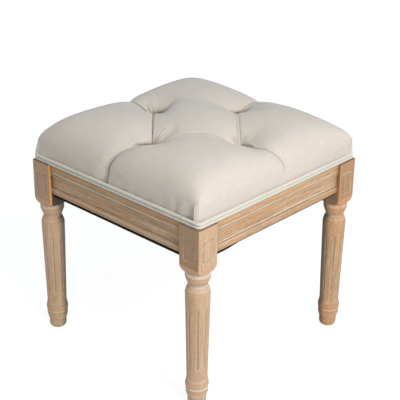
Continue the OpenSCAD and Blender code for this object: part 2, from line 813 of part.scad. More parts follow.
module welt_sleeve() {
    color(piping) difference() {
        for (z = [welt_low_z, welt_high_z]) {
            welt_loop(welt_d, z);
        }
        for (z = [welt_low_z, welt_high_z]) {
            welt_loop(welt_cord_d + 2 * fit_gap, z);
        }
    }
}

module welt_cords() {
    color("#f4f1e8") for (z = [welt_low_z, welt_high_z]) {
        welt_loop(welt_cord_d, z);
    }
}

// Dust cover: one sheet under the rails, cut out round the legs
module dust_cover() {
    edge_w = frame_w / 2 - rail_inset - field_depth - dust_inset;
    edge_d = frame_d / 2 - rail_inset - field_depth - dust_inset;
    leg_w = frame_w / 2 - block_w - dust_leg_gap;
    leg_d = frame_d / 2 - block_w - dust_leg_gap;
    color("#1c1b1a") difference() {
        translate([0, 0, rail_z - dust_t]) linear_extrude(dust_t) {
            square([2 * edge_w, 2 * leg_d], center = true);
            square([2 * leg_w, 2 * edge_d], center = true);
        }
        for (k = [0:3]) {
            at_side(k) dust_staple_places(k) staple(fit_gap);
        }
    }
}

// Staples

// A staple with the underside of its crown at z = 0 and its legs up; "gap" makes it the slot for one
module staple(gap) {
    w = staple_w + 2 * gap;
    wire_w = staple_wire_w + 2 * gap;
    wire_t = staple_wire_t + 2 * gap;
    translate([-w / 2, -wire_w / 2, -gap]) cube([w, wire_w, wire_t]);
    for (x = [-w / 2, w / 2 - wire_t]) {
        translate([x, -wire_w / 2, -gap]) cube([wire_t, wire_w, staple_wire_t + staple_leg + 2 * gap]);
    }
}
// Places along side k, at this distance behind its face
module staple_row(k, behind, z) {
    span = rail_len(k) * staple_span_share;
    for (i = [0:staple_count - 1]) {
        translate([span * (i / (staple_count - 1) - 1 / 2), behind, z]) children();
    }
}
module dust_staple_places(k) {
    staple_row(k, rail_inset + field_depth + dust_staple_from_edge, rail_z - dust_t - staple_wire_t) children();
}
module cover_staple_places() {
    for (k = [0:3]) {
        at_side(k) staple_row(k, side_dist(k) - seat_half(k) + hem_w - cover_staple_from_edge, frame_h - staple_wire_t)
            children();
    }
}
function seat_half(k) = k % 2 == 0 ? seat_half_d : seat_half_w;

module cover_staples() {
    color(steel) cover_staple_places() staple(0);
}
module dust_cover_staples() {
    color(steel) for (k = [0:3]) {
        at_side(k) dust_staple_places(k) staple(0);
    }
}

leg_front_left();
leg_front_right();
leg_back_left();
leg_back_right();
rail_front();
rail_back_side();  // rail_back
rail_left();
rail_right();
rail_dowels();
corner_block_front_left();
corner_block_front_right();
corner_block_back_left();
corner_block_back_right();
corner_block_screws();
hanger_bolts();
bolt_washers();
bolt_nuts();
seat_board();
seat_screws();
foam_pad();
wadding();
seat_cover();
cover_staples();
tuft_twine();
twine_discs();
welt_sleeve();
welt_cords();
dust_cover();
dust_cover_staples();
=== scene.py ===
"""Square upholstered stool: the linen seat, welt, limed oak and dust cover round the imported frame."""

import math
from functools import partialmethod

import bpy
import numpy as np
from mathutils import Matrix, Vector, noise


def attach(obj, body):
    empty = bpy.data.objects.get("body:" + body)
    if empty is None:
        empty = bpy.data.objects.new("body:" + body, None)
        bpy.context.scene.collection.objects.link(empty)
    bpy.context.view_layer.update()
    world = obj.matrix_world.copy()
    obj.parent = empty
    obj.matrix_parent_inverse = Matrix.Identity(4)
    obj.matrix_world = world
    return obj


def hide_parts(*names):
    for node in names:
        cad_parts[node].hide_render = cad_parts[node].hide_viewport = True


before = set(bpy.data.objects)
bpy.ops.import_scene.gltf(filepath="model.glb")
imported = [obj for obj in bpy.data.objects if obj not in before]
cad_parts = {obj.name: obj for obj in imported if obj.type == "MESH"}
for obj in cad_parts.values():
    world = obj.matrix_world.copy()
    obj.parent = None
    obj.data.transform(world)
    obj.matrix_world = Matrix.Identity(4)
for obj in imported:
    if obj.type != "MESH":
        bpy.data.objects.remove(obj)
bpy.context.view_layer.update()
scene = bpy.context.scene

MM = 0.001
ROOT_2 = math.sqrt(2)

# Camera, as fitted to the photograph
CAMERA_AZIMUTH = math.radians(43.12)
CAMERA_ELEVATION = math.radians(25.41)
CAMERA_ROLL = math.radians(0.63)
CAMERA_DISTANCE = 2.3298
CAMERA_TARGET = Vector((-0.0483, 0.0683, 0.250))
CAMERA_FOCAL_PIXELS = 1115.9
PHOTO_PIXELS = 400
SENSOR = 36.0

# Light. Each lamp: [name, direction from the seat, distance, size, level, colour]
LAMPS = [("key", (0.80, -0.20, 0.60), 3.0, 1.3, 0.63, (1.0, 0.93, 0.87)),
         ("fill", (0.60, -0.42, 0.70), 1.3, 0.7, 0.11, (1.0, 0.94, 0.85))]
LAMP_AIM = Vector((0, 0, 0.3))
WHITE = (1, 1, 1, 1)
WORLD_LEVEL = 0.44
# Tints of the world's light from above and level with the floor, and from the front and the back
WORLD_TOP_TINT, WORLD_SIDE_TINT = (0.95, 1.08, 1.21, 1), (0.99, 0.99, 0.96, 1)
WORLD_FRONT_TINT, WORLD_BACK_TINT = (0.76, 0.67, 0.56, 1), (1.24, 1.33, 1.44, 1)
FLOOR_SIZE = 30.0
FLOOR_COLOUR = (0.80, 0.80, 0.80, 1)
FLOOR_CAMERA_GLOW = 1.34
FLOOR_CAMERA_SHARE = 0.35

# Seat, in millimetres, as in the part's source
FRAME_TOP = 380.0
FRAME_HALF = 225.0
WELT_D = 6.3
WELT_INSET = 1.0
SOFT_GAP = 0.3
WELT_HALF = FRAME_HALF - WELT_INSET - WELT_D / 2
SEAT_HALF = WELT_HALF - WELT_D / 2 - SOFT_GAP
BOARD_TOP = 393.5
COVER_T = 1.5
WADDING_T = 6.0
HEM_W = 27.0
CLOTH_T = 1.1
# Rows of the hem from the seat's edge: [share of its width, share of the cloth's thickness upwards]
HEM_SHARES = [(0.03, 0), (0.3, 0), (0.65, 0), (1, 0), (1, 1), (0.4, 1)]
EDGE_Z = 409.0
CORNER_LIFT, LIFT_POWER = 9.0, 2
CROWN_RISE, DOME_SHARE, ROLL_POWER = 60.0, 0.18, 8
TUFT_REACH, TUFT_DEPTH, TUFT_SPREAD, TUFT_POWER = 116.0, 29.0, 39.0, 1.3
CHANNEL_DEPTH, CHANNEL_SPREAD = 8.5, 28.0
BACK_CHANNEL_EASE = 0.9
# Where the stuffing is a little uneven: [across, along, spread, rise]
UNEVEN = [(165, 200, 48, -4.5), (-195, 195, 60, -1.5), (42, 128, 26, -5.0), (172, -34, 24, -3.0),
          (-214, -214, 16, 5.0), (213, 213, 18, 6.0)]
PLEAT_DEPTH, PLEAT_SPREAD, SIDE_PLEAT_DEPTH = 10.0, 22.0, 4.0
SIDE_DRAW, EDGE_POWER, FOOT_DRAW_SHARE = 2.0, 6, 0.25
CORNER_R, FRONT_CORNER_R, CORNER_POWER = 6.0, 15.0, 10
# The left and right corners stand out, by their share at the top
EAR_R, LEFT_EAR_SHARE, RIGHT_EAR_SHARE = 15.0, 0, 0.7
# The front and right pleats lean away from the front corner
FRONT_LEAN, RIGHT_LEAN, LEAN_POWER = 19.0, 21.0, 4
RIGHT_TUFT, BACK_TUFT = (TUFT_REACH, 0), (0, TUFT_REACH)
LEFT_TUFT, FRONT_TUFT = (-TUFT_REACH, 0), (0, -TUFT_REACH)
TUFTS = [RIGHT_TUFT, LEFT_TUFT, BACK_TUFT, FRONT_TUFT]
# The open pocket at each tuft, along the tuft's diagonal: its ends, its darkest place and the spread of
# its painted shadow, the rise of the brow over it, and the brow's edge as [place, slope, curve]
TUFT_EYES = {LEFT_TUFT: (-10, 30, 8, 17, 3.0, (-12.7, 0.42, 0.016)),
             BACK_TUFT: (-24, 34, 9, 15, 2.5, (-13.7, -0.28, 0.0055)),
             FRONT_TUFT: (-42, 12, -8, 26, 2.8, (-10.0, 0, 0.024)),
             RIGHT_TUFT: (0, 28, 6, 8, 1.5, (-10.0, 0, 0.048))}
# Painted shade in the hollows beside the tufts: [tuft, along and before the diagonal, spreads, share]
HOLLOWS = [(LEFT_TUFT, 24, 0, 9, 9, 0.18), (BACK_TUFT, 20, -8, 11, 8, 0.6),
           (FRONT_TUFT, 9, -10, 8, 6, 0.42), (RIGHT_TUFT, 12, -10, 7, 12, 0.25)]
# Small rises and falls of the pillows round the tufts: [tuft, along and before the diagonal, spreads, rise]
PILLOW_LIPS = [(LEFT_TUFT, 18, 22, 11, 24, -9.0), (LEFT_TUFT, 16, 60, 20, 20, -4.0),
               (LEFT_TUFT, 34, -10, 14, 17, -4.0), (BACK_TUFT, 2, 22, 20, 16, -3.0),
               (FRONT_TUFT, -18, 52, 22, 26, 2.2), (FRONT_TUFT, 36, -24, 11, 16, -3.0),
               (RIGHT_TUFT, 28, 40, 14, 20, -3.0)]
# How closely the layers under the cover follow its falls
LIP_FOLLOW_SHARE = 1.3
# Gathers that run into each tuft: [angle in plan, length, depth, sideways bend]
GATHERS = {
    LEFT_TUFT: [(176, 34, 1.1, 2), (161, 38, 1.5, -2), (146, 32, 1.1, 2), (132, 24, 0.5, 1),
                (98, 34, 0.6, -3), (215, 20, 0.4, 2)],
    BACK_TUFT: [(150, 26, 0.4, -2), (72, 24, 0.4, 2)],
    FRONT_TUFT: [(119, 40, 0.9, -1), (104, 44, 1.5, 2), (90, 38, 1.5, 2), (75, 32, 1.0, 3),
                 (160, 24, 0.4, -2)],
    RIGHT_TUFT: [(150, 32, 1.0, 2), (167, 34, 1.2, -2), (186, 28, 0.9, 1)],
}


def srgb(red, green, blue):
    """Linear colour of an 8-bit screen colour, with alpha."""
    return tuple(c / 12.92 if c <= 0.04045 else ((c + 0.055) / 1.055) ** 2.4
                 for c in (red / 255, green / 255, blue / 255)) + (1,)


class Nodes:
    """Short calls for the nodes of a material or world. Values may be numbers, colours or sockets."""

    def __init__(self, owner):
        owner.use_nodes = True
        self.tree = owner.node_tree

    def put(self, node, key, value):
        if isinstance(value, bpy.types.NodeSocket):
            self.tree.links.new(value, node.inputs[key])
        else:
            node.inputs[key].default_value = value

    def add(self, kind, inputs=(), out=0, **settings):
        node = self.tree.nodes.new(kind)
        for key, value in settings.items():
            setattr(node, key, value)
        for key, value in dict(inputs).items():
            self.put(node, key, value)
        return node.outputs[out]

    def calc(self, operation, *values):
        return self.add("ShaderNodeMath", enumerate(values), operation=operation)

    plus = partialmethod(calc, "ADD")
    minus = partialmethod(calc, "SUBTRACT")
    times = partialmethod(calc, "MULTIPLY")
    over = partialmethod(calc, "DIVIDE")
    line = partialmethod(calc, "MULTIPLY_ADD")
    most = partialmethod(calc, "MAXIMUM")
    least = partialmethod(calc, "MINIMUM")
    above = partialmethod(calc, "GREATER_THAN")
    below = partialmethod(calc, "LESS_THAN")
    size = partialmethod(calc, "ABSOLUTE")

    def place(self):
        """Coordinates in the frame, in metres."""
        return self.add("ShaderNodeTexCoord", out="Object")

    def split(self, vector):
        return list(self.add("ShaderNodeSeparateXYZ", {0: vector}).node.outputs)

    def scaled(self, vector, scale, shift=(0, 0, 0)):
        return self.add("ShaderNodeMapping", {"Vector": vector, "Scale": scale, "Location": shift})

    def noise(self, vector, scale=1.0, detail=3.0, rough=0.5, distortion=0.0):
        return self.add("ShaderNodeTexNoise", {
            "Vector": vector, "Scale": scale, "Detail": detail, "Roughness": rough, "Distortion": distortion})

    def ramp(self, value, stops):
        """A grey or colour ramp from [(position, value or colour)]."""
        out = self.add("ShaderNodeValToRGB", {0: value})
        points = out.node.color_ramp.elements
        while len(points) < len(stops):
            points.new(0.5)
        for point, (position, colour) in zip(points, stops):
            point.position = position
            point.color = colour if isinstance(colour, tuple) else (colour, colour, colour, 1)
        return out

    def mix(self, share, first, second, blend="MIX"):
        inputs = {0: share, 6: first, 7: second}
        return self.add("ShaderNodeMix", inputs, 2, data_type="RGBA", blend_type=blend)

    def mix_shaders(self, share, first, second):
        return self.add("ShaderNodeMixShader", {0: share, 1: first, 2: second})

    def seen_ray(self):
        """One for a ray of the camera, or one that a gloss or clear surface sends on."""
        rays = self.add("ShaderNodeLightPath", out="Is Camera Ray").node.outputs
        glossy = self.most(rays["Is Camera Ray"], rays["Is Glossy Ray"])
        return self.most(glossy, rays["Is Transmission Ray"])


class Look(Nodes):
    """A new material with its shader."""

    def __init__(self, name, roughness):
        self.material = bpy.data.materials.new(name)
        super().__init__(self.material)
        self.shader = self.tree.nodes["Principled BSDF"]
        self.put(self.shader, "Roughness", roughness)

    def finish(self, colour, height, distance, strength, rough=None):
        """Links the colour, roughness and bump, and returns the material."""
        self.put(self.shader, "Base Color", colour)
        if rough is not None:
            self.put(self.shader, "Roughness", rough)
        bump = self.add("ShaderNodeBump", {"Height": height, "Distance": distance, "Strength": strength})
        self.put(self.shader, "Normal", bump)
        return self.material


def cloth_material(name, base, thread, slub=0.16, mottle=0.07, depth=0.00022, turn=0.0, sheen=0.12):
    """A plain weave over the cloth's own UV, in metres, with uneven threads, and painted shade where the mesh
    marks its creases and pockets.
    """
    g = Look(name, 0.92)
    uv = g.add("ShaderNodeUVMap", uv_map="cloth")
    uv = g.add("ShaderNodeMapping", {"Vector": uv, "Rotation": (0, 0, turn)})
    u, v, _ = g.split(uv)
    turns = 2 * math.pi / thread
    warp = g.calc("SINE", g.times(u, turns))
    weft = g.calc("SINE", g.times(v, turns))
    over = g.times(warp, weft)
    along = g.noise(g.scaled(uv, (1 / 0.0013, 1 / 0.02, 1)), 1, 2)
    across = g.noise(g.scaled(uv, (1 / 0.02, 1 / 0.0013, 1), (7, 3, 0)), 1, 2)
    threads = g.plus(along, across)
    cloudy = g.noise(g.scaled(uv, (1 / 0.035, 1 / 0.035, 1), (2, 9, 0)), 1, 3)
    tone = g.plus(g.line(threads, slub, -slub), g.line(over, 0.02, 1.0))
    tone = g.plus(tone, g.line(cloudy, mottle, -mottle / 2))
    colour = g.mix(1.0, base, tone, "MULTIPLY")
    # Painted shade: the linen turns dark brown where the seat's mesh marks its creases, pockets, hollows and
    # seams as shaded
    painted_shade = g.add("ShaderNodeAttribute", out="Fac", attribute_name="painted_shade")
    colour = g.mix(g.times(painted_shade, 0.85), colour, srgb(104, 82, 64))
    height = g.plus(g.times(over, 0.5), g.times(threads, 1.2))
    g.put(g.shader, "Sheen Weight", sheen)
    g.put(g.shader, "Sheen Roughness", 0.5)
    g.put(g.shader, "Specular IOR Level", 0.25)
    return g.finish(colour, height, depth, 0.8)


def new_object(name, data):
    obj = bpy.data.objects.new(name, data)
    scene.collection.objects.link(obj)
    return obj


def mesh_object(name, points, faces, material=None, scale=MM):
    """A smooth mesh object in the frame from points in millimetres."""
    mesh = bpy.data.meshes.new(name)
    mesh.from_pydata((np.asarray(points, float) * scale).tolist(), [], faces)
    if material:
        mesh.materials.append(material)
    mesh.polygons.foreach_set("use_smooth", [True] * len(mesh.polygons))
    return new_object(name, mesh)


def read(items, key):
    """The vectors of a mesh's items, one a row."""
    flat = np.zeros(len(items) * 3)
    items.foreach_get(key, flat)
    return flat.reshape(-1, 3)


def set_uv(obj, loop_uv):
    """Stores the cloth's own UV, in metres, one pair a loop."""
    layer = obj.data.uv_layers.new(name="cloth")
    layer.data.foreach_set("uv", np.asarray(loop_uv, float).ravel())


# Seat surface

def roll(s):
    return np.sqrt(np.maximum(0, 1 - np.abs(s) ** ROLL_POWER))


def fade(distance, spread):
    return np.exp(-np.abs(distance) / spread)


def bell(distance, spread):
    return np.exp(-(distance / spread) ** 2)


def past(distance, spread):
    return np.clip(distance / spread + 0.5, 0, 1)


def ease(t):
    t = np.clip(t, 0, 1)
    return t * t * (3 - 2 * t)


def beside_pleats(x, y):
    """Places across the pleats, of which the front one and the right one lean."""
    front, right = (np.clip((along - TUFT_REACH) / (SEAT_HALF - TUFT_REACH), 0, 1) for along in (-y, x))
    return x + FRONT_LEAN * front ** LEAN_POWER, y - RIGHT_LEAN * right ** LEAN_POWER


def off_crease(x, y):
    """Distance outwards from the four creases that join the tufts."""
    return (np.abs(x) + np.abs(y) - TUFT_REACH) / ROOT_2


def between_tufts(x, y, margin=0):
    return np.maximum(np.abs(x), np.abs(y)) <= TUFT_REACH + margin


def side_height(z):
    """Share of the height up the side of the seat, from the board."""
    return ease((z - BOARD_TOP) / 30)


def crown_z(x, y, half):
    """Height of the crown over the point (x, y) of a seat with this half width."""
    u, v = x / half, y / half
    dome = 1 + DOME_SHARE * (1 - u * u) * (1 - v * v)
    back_left = ease((y - x) / 60) * ease((TUFT_REACH - np.abs(x + y)) / 60)
    channel = CHANNEL_DEPTH * (1 - BACK_CHANNEL_EASE * back_left)
    pits = sum(np.exp(-(np.hypot(x - a, y - b) / TUFT_SPREAD) ** TUFT_POWER) for a, b in TUFTS)
    px, py = beside_pleats(x, y)
    pleat = (fade(px, PLEAT_SPREAD) * past(np.abs(y) - TUFT_REACH, PLEAT_SPREAD)
             + fade(py, PLEAT_SPREAD) * past(np.abs(x) - TUFT_REACH, PLEAT_SPREAD))
    lumps = sum(rise * np.exp(-((x - a) ** 2 + (y - b) ** 2) / spread ** 2) for a, b, spread, rise in UNEVEN)
    swell = (CROWN_RISE * dome - channel * fade(off_crease(x, y), CHANNEL_SPREAD)
             - PLEAT_DEPTH * pleat - TUFT_DEPTH * pits)
    return EDGE_Z + CORNER_LIFT * np.abs(u * v) ** LIFT_POWER + roll(u) * roll(v) * swell + lumps


def plan(x, y, half, drawn, height=1):
    """Plan of the seat: sides drawn in by the share given, a rounder front corner, fuller side corners."""
    u, v = np.abs(x / half), np.abs(y / half)
    ear = np.where(x > 0, RIGHT_EAR_SHARE, LEFT_EAR_SHARE)
    ear = EAR_R * (ear + (1 - ear) * (1 - height)) * ease(np.abs(x + y) / half - 1)
    radius = CORNER_R - ear + (FRONT_CORNER_R - CORNER_R) * (0.4 + 0.6 * height) * ease((x - y) / half - 1)
    px, py = beside_pleats(x, y)
    round_off = radius * (1 - 1 / ROOT_2) * (u * v) ** CORNER_POWER
    draw_x = drawn * u ** EDGE_POWER * (SIDE_DRAW * (1 - v * v) + SIDE_PLEAT_DEPTH * fade(py, PLEAT_SPREAD))
    draw_y = drawn * v ** EDGE_POWER * (SIDE_DRAW * (1 - u * u) + SIDE_PLEAT_DEPTH * fade(px, PLEAT_SPREAD))
    return x - np.sign(x) * (round_off + draw_x), y - np.sign(y) * (round_off + draw_y)


def drawn_in(x, y):
    """How much further the creases draw in the layers under the cover: at the top, and at the sides."""
    px, py = beside_pleats(x, y)
    pleat = (fade(px, 9) * ease((np.abs(y) - TUFT_REACH + 10) / 10)
             + fade(py, 9) * ease((np.abs(x) - TUFT_REACH + 10) / 10))
    pits = sum(fade(np.hypot(x - a, y - b), 15) for a, b in TUFTS)
    crease = between_tufts(x, y) * fade(off_crease(x, y), 6)
    return 5 * np.maximum(crease, pleat) + 13 * pits, 5 * pleat


def diagonal(dx, dy):
    """Places along and before the diagonal of a tuft."""
    return (dx + dy) / ROOT_2, (dx - dy) / ROOT_2


def spot(dx, dy, along, before, wide, deep):
    """A soft spot of 1 placed along and before a tuft's diagonal."""
    long, short = diagonal(dx, dy)
    return np.exp(-((long - along) / wide) ** 2 - ((short - before) / deep) ** 2)


def pillow_lips(x, y):
    """Small rises and falls of the pillows."""
    return sum(rise * spot(x - a, y - b, along, before, wide, deep)
               for (a, b), along, before, wide, deep, rise in PILLOW_LIPS)


def grid_lines(inner, outer, half, extra=()):
    """Places of the grid lines: even between the tufts, and closer together towards the edge."""
    near = np.linspace(0, TUFT_REACH, inner + 1)
    t = np.linspace(0, 1, outer + 1)[1:]
    far = TUFT_REACH + (half - TUFT_REACH) * (1 - (1 - t) ** 2)
    side = np.concatenate([near, far, list(extra)])
    side = np.unique(np.round(side[side <= half], 6))
    side = side[np.concatenate([[True], np.diff(side) > 0.3 * (side[1:] < half)])]
    return np.concatenate([-side[:0:-1], side])


def ring_numbers(n):
    """Grid numbers (i, j) round the edge, from the front left corner and anticlockwise from above."""
    k, zero, last = np.arange(n - 1), np.zeros(n - 1, int), n - 1
    sides = [(k, zero), (zero + last, k), (last - k, zero + last), (zero, last - k)]
    return np.concatenate([np.stack(side, 1) for side in sides])


def grid_quads(n):
    """The squares of a grid with n by n points, anticlockwise from above."""
    a = (np.arange(n - 1)[:, None] * n + np.arange(n - 1)[None]).ravel()
    return np.stack([a, a + 1, a + n + 1, a + n], 1)


def between_rows(rows):
    """Squares between closed rows, each from its upper left corner down and round."""
    ends = np.roll(rows, -1, 1)
    return np.stack([rows[:-1], rows[1:], ends[1:], ends[:-1]], 2)


class Skin:
    """A grid over the top and down the sides of the seat, "depth" inside the cover's outer face."""

    def __init__(self, lines, depth, rows, foot_z, hem_rows=0):
        self.half = SEAT_HALF - depth
        self.lines, self.n = lines, len(lines)
        x, y = np.meshgrid(lines, lines)
        px, py = plan(x, y, self.half, 1)
        sink, pull = drawn_in(x, y) if depth else (0, 0)
        px, py = px * (1 - pull / self.half), py * (1 - pull / self.half)
        if depth:
            sink = sink - LIP_FOLLOW_SHARE * np.minimum(pillow_lips(x, y), 0)
        self.top = np.stack([px, py, crown_z(x, y, self.half) - depth - sink], -1)
        self.ring = ring_numbers(self.n)
        rx, ry = lines[self.ring[:, 0]], lines[self.ring[:, 1]]
        edge_z = self.top[self.ring[:, 1], self.ring[:, 0], 2]
        self.side = np.zeros((rows + hem_rows, len(self.ring), 3))
        self.drop = np.zeros((rows + hem_rows, len(self.ring)))
        for k in range(rows):
            z = edge_z + (foot_z - edge_z) * (k + 1) / rows
            above = np.clip((z - BOARD_TOP) / (edge_z - BOARD_TOP), 0, 1)
            below = np.clip((z - FRAME_TOP) / (BOARD_TOP - FRAME_TOP), 0, 1)
            drawn = below * FOOT_DRAW_SHARE + above * (1 - FOOT_DRAW_SHARE)
            px, py = plan(rx, ry, self.half, drawn, side_height(z))
            if depth:
                pull = 1 - drawn_in(rx, ry)[1] / self.half
                px, py = px * pull, py * pull
            self.side[k] = np.stack([px, py, z], -1)
            self.drop[k] = edge_z - z
        for k, (share, lift) in enumerate(HEM_SHARES[:hem_rows]):
            turned = HEM_W * share
            limit = self.half - turned
            base = self.side[rows - 1]
            inset = np.clip(base[:, :2], -limit, limit)
            self.side[rows + k] = np.column_stack([inset, base[:, 2] + lift * CLOTH_T])
            self.drop[rows + k] = self.drop[rows - 1] + HEM_W * (k + 1) / hem_rows
        self.param = np.concatenate([
            np.stack([x, y], -1).reshape(-1, 2), np.tile(np.stack([rx, ry], -1), (rows + hem_rows, 1))])

    def points(self):
        return np.concatenate([self.top.reshape(-1, 3), self.side.reshape(-1, 3)])

    def faces(self):
        """Quads of the top, then of the side rows."""
        n, m = self.n, len(self.ring)
        top = grid_quads(n)
        # Each square starts at the corner whose diagonal runs along the creases between the tufts
        j, i = np.divmod(top[:, 0], n)
        along = (2 * i + 1 - n) * (2 * j + 1 - n) > 0
        top[along] = np.roll(top[along], -1, 1)
        upper = self.ring[:, 1] * n + self.ring[:, 0]
        rows = np.concatenate([upper[None], n * n + np.arange(len(self.side) * m).reshape(-1, m)])
        return np.concatenate([top, between_rows(rows).reshape(-1, 4)])

    def cloth_uv(self):
        """UV of each loop, in metres: flat over the top, and unrolled down each side."""
        top = self.param[self.faces()[:(self.n - 1) ** 2]]
        out = np.repeat([(0, -1), (1, 0), (0, 1), (-1, 0)], self.n - 1, 0)
        edge = self.lines[self.ring]
        drops = np.concatenate([0 * self.drop[:1], self.drop])[..., None]
        rows, ends = edge + out * drops, np.roll(edge, -1, 0) + out * np.roll(drops, -1, 1)
        sides = np.stack([rows[:-1], rows[1:], ends[1:], ends[:-1]], 2)
        return np.concatenate([top, sides.reshape(-1, 4, 2)]) * MM


def split(faces, uv, count):
    """Cuts the first faces into triangles along their first diagonal. Returns faces and the loops' UV."""
    corners = ([0, 1, 2], [0, 2, 3])
    halves = np.concatenate([faces[:count, three] for three in corners])
    loops = np.concatenate([uv[:count, three] for three in corners]).reshape(-1, 2)
    return halves.tolist() + faces[count:].tolist(), np.concatenate([loops, uv[count:].reshape(-1, 2)])


SIM_INNER, SIM_OUTER, SIM_ROWS = 24, 30, 6
SIM_FRAMES = 20
CLOTH = dict(
    quality=6, mass=0.25, tension_stiffness=18, compression_stiffness=12, shear_stiffness=6,
    bending_stiffness=0.4, air_damping=4, use_pressure=True, uniform_pressure_force=3.0,
    vertex_group_mass="pins", pin_stiffness=1.0)
FINE = 2
SIDE_FINE_ROWS, HEM_ROWS = 16, 6
COVER_FOOT = FRAME_TOP + 0.2
LOW_POINT, HIGH_POINT = -2.5, 3.5


def settle(skin, pins):
    """Cloth under pressure over the skin, held at its pins. Returns its movement and first normals."""
    obj = mesh_object("cover_simulation", skin.points(), skin.faces().tolist())
    normals = read(obj.data.vertex_normals, "vector")
    group = obj.vertex_groups.new(name="pins")
    for i, weight in enumerate(pins):
        if weight > 0.01:
            group.add([i], float(weight), "REPLACE")
    modifier = obj.modifiers.new("cloth", "CLOTH")
    for key, value in CLOTH.items():
        setattr(modifier.settings, key, value)
    modifier.settings.effector_weights.gravity = 0
    modifier.collision_settings.use_collision = False
    modifier.point_cache.frame_end = SIM_FRAMES
    for number in range(1, SIM_FRAMES + 1):
        scene.frame_set(number)
    shape = obj.evaluated_get(bpy.context.evaluated_depsgraph_get()).data
    moved = read(shape.vertices, "co") / MM - skin.points()
    scene.frame_set(1)
    bpy.data.objects.remove(obj)
    return moved, normals


def resample(field, rows, columns):
    """The field at these fractional row and column numbers, smoothly."""
    def along(a, places):
        i = np.clip(np.floor(places).astype(int), 0, a.shape[0] - 2)
        t = (places - i)[:, None, None]
        last = a.shape[0] - 1
        p0, p1, p2, p3 = (a[np.clip(i + k, 0, last)] for k in (-1, 0, 1, 2))
        return p1 + 0.5 * t * (p2 - p0 + t * (2 * p0 - 5 * p1 + 4 * p2 - p3 + t * (3 * (p1 - p2) + p3 - p0)))
    return along(along(field, rows).transpose(1, 0, 2), columns).transpose(1, 0, 2)


# Heights on the sides of the seat under which its puckers, folded corner seams and corner dents show
PUCKER_TOP, SEAM_TOP, DENT_TOP = 436, 450, 456


def pleats(x, y, z):
    """Pleats from the tufts to the sides, each with a ridge and a valley beside its crease, and painted shade
    along the crease.
    """
    height = painted_shade = 0
    px, py = beside_pleats(x, y)
    # Place across, place along, sharpness, share of the tuck, and height where it ends
    for across, along, sharp, tuck, foot in (
            (-px, -y, 1.0, 1.0, 0), (py, -x, 0.9, 1.0, 0), (py, x, 0.6, 0.5, 406), (px, y, 0.6, 0.4, 404)):
        on = sharp * ease((along - TUFT_REACH + 8) / 10) * ease((z - foot) / 22)
        side = ease((along - 170) / 40)
        height -= on * 3.2 * fade(across, np.where(across > 0, 0.8, 1.4))
        valley = across - 4 - 2.5 * side
        valley = bell(valley, np.where(valley > 0, 14 - 2 * side, 2.6 + 1.9 * side))
        ridge = bell(across - 2.0, 1.2)
        height += on * tuck * (across > -1) * (0.3 * ridge - (0.7 + 2.1 * side) * valley)
        # Painted shade along the crease, and a little beside it lower on the sides
        shade = 0.22 * side * tuck * bell(across - 3.0, 2.1)
        painted_shade = np.maximum(painted_shade, on * np.maximum(bell(across, 1.1), shade))
    return height, painted_shade


def creases(x, y, z):
    """Creases between the tufts with painted shade along them, and the fuller cloth before the front one."""
    off, run = off_crease(x, y), (x + y) / ROOT_2
    inside = between_tufts(x, y, 2)
    before = (x > 0) * (y < 0)
    left, right, front = inside * (x < 0) * (y < 0), inside * (x > 0) * (y > 0), inside * before
    double = bell(off - 2.6, 1.3) + bell(off + 2.6, 1.3)
    height = -3.2 * left * fade(off, 1.1) - 1.1 * right * double - 1.8 * front * fade(off, 2.4)
    swell = 1.5 * bell(run - 32, 14) + 3.5 * bell(run + 44, 14) - 3.0 * bell(run - 66, 15)
    height += before * (bell(off - 5, 12) * swell + 1.7 * bell(off - 10, 9) * ease((76 - np.abs(run)) / 30))
    height += 0.9 * front * bell(off - 5, 1.7) * ease((62 - np.abs(run)) / 20)
    # Painted shade along the creases: the left one darker towards the front tuft, the right one on both lines
    # of its double crease, and a little along the front one
    left_shade = 0.65 - 0.3 * np.clip((y - x) / TUFT_REACH, -1, 1)
    painted_shade = np.maximum(left * left_shade * bell(off, 0.95), 0.3 * right * double)
    return height, np.maximum(painted_shade, 0.35 * front * bell(off - 1.5, 2.2))


def pockets(x, y, z):
    """The open pocket at each tuft under its brow of cloth, with painted shadow under the brow, and painted
    shade in the hollows beside it.
    """
    height = painted_shade = 0
    for (a, b), (near_end, far_end, darkest, dark_spread, brow, edge) in TUFT_EYES.items():
        long, short = diagonal(x - a, y - b)
        middle, reach = (near_end + far_end) / 2, (far_end - near_end) / 2
        open_share = np.clip(1 - ((long - middle) / reach) ** 2, 0, 1) ** 0.7
        under = short - edge[0] - edge[1] * long - edge[2] * long ** 2
        height += brow * open_share * ease((1 - under) / 4) * bell(np.maximum(-under - 7, 0), 18)
        height -= 2.5 * open_share * ease((under + 1) / 2) * bell(np.maximum(under - 6, 0), 8)
        # Painted shadow under the brow, darkest at the pocket's darkest place
        shade = ease((under + 0.5) / 1.5) * ease((14 - under) / 5)
        painted_shade = np.maximum(painted_shade, open_share * shade * np.maximum(bell(long - darkest, dark_spread), 0.3))
    for (a, b), *place, share in HOLLOWS:
        painted_shade = np.maximum(painted_shade, share * spot(x - a, y - b, *place))
    return height, painted_shade


def gathers(x, y, z):
    """Gathers that run into the tufts, each a valley between two ridges, with painted shade in the valley."""
    height = painted_shade = 0
    for (a, b), rows in GATHERS.items():
        r, bearing = np.hypot(x - a, y - b), np.arctan2(y - b, x - a)
        for angle, length, deep, bend in rows:
            turn = bearing - math.radians(angle)
            sideways = r * np.sin(turn) + bend * (r / length) ** 2
            along = deep * ease((r - 4) / 6) * ease((length - r) / (0.7 * length)) * (np.cos(turn) > 0)
            height += along * (1.1 * bell(np.abs(sideways) - 3.2, 1.6) - 1.8 * bell(sideways, 1.5))
            # Painted shade in the valley
            painted_shade = np.maximum(painted_shade, 0.3 * along * bell(sideways, 1.4))
    return height, painted_shade


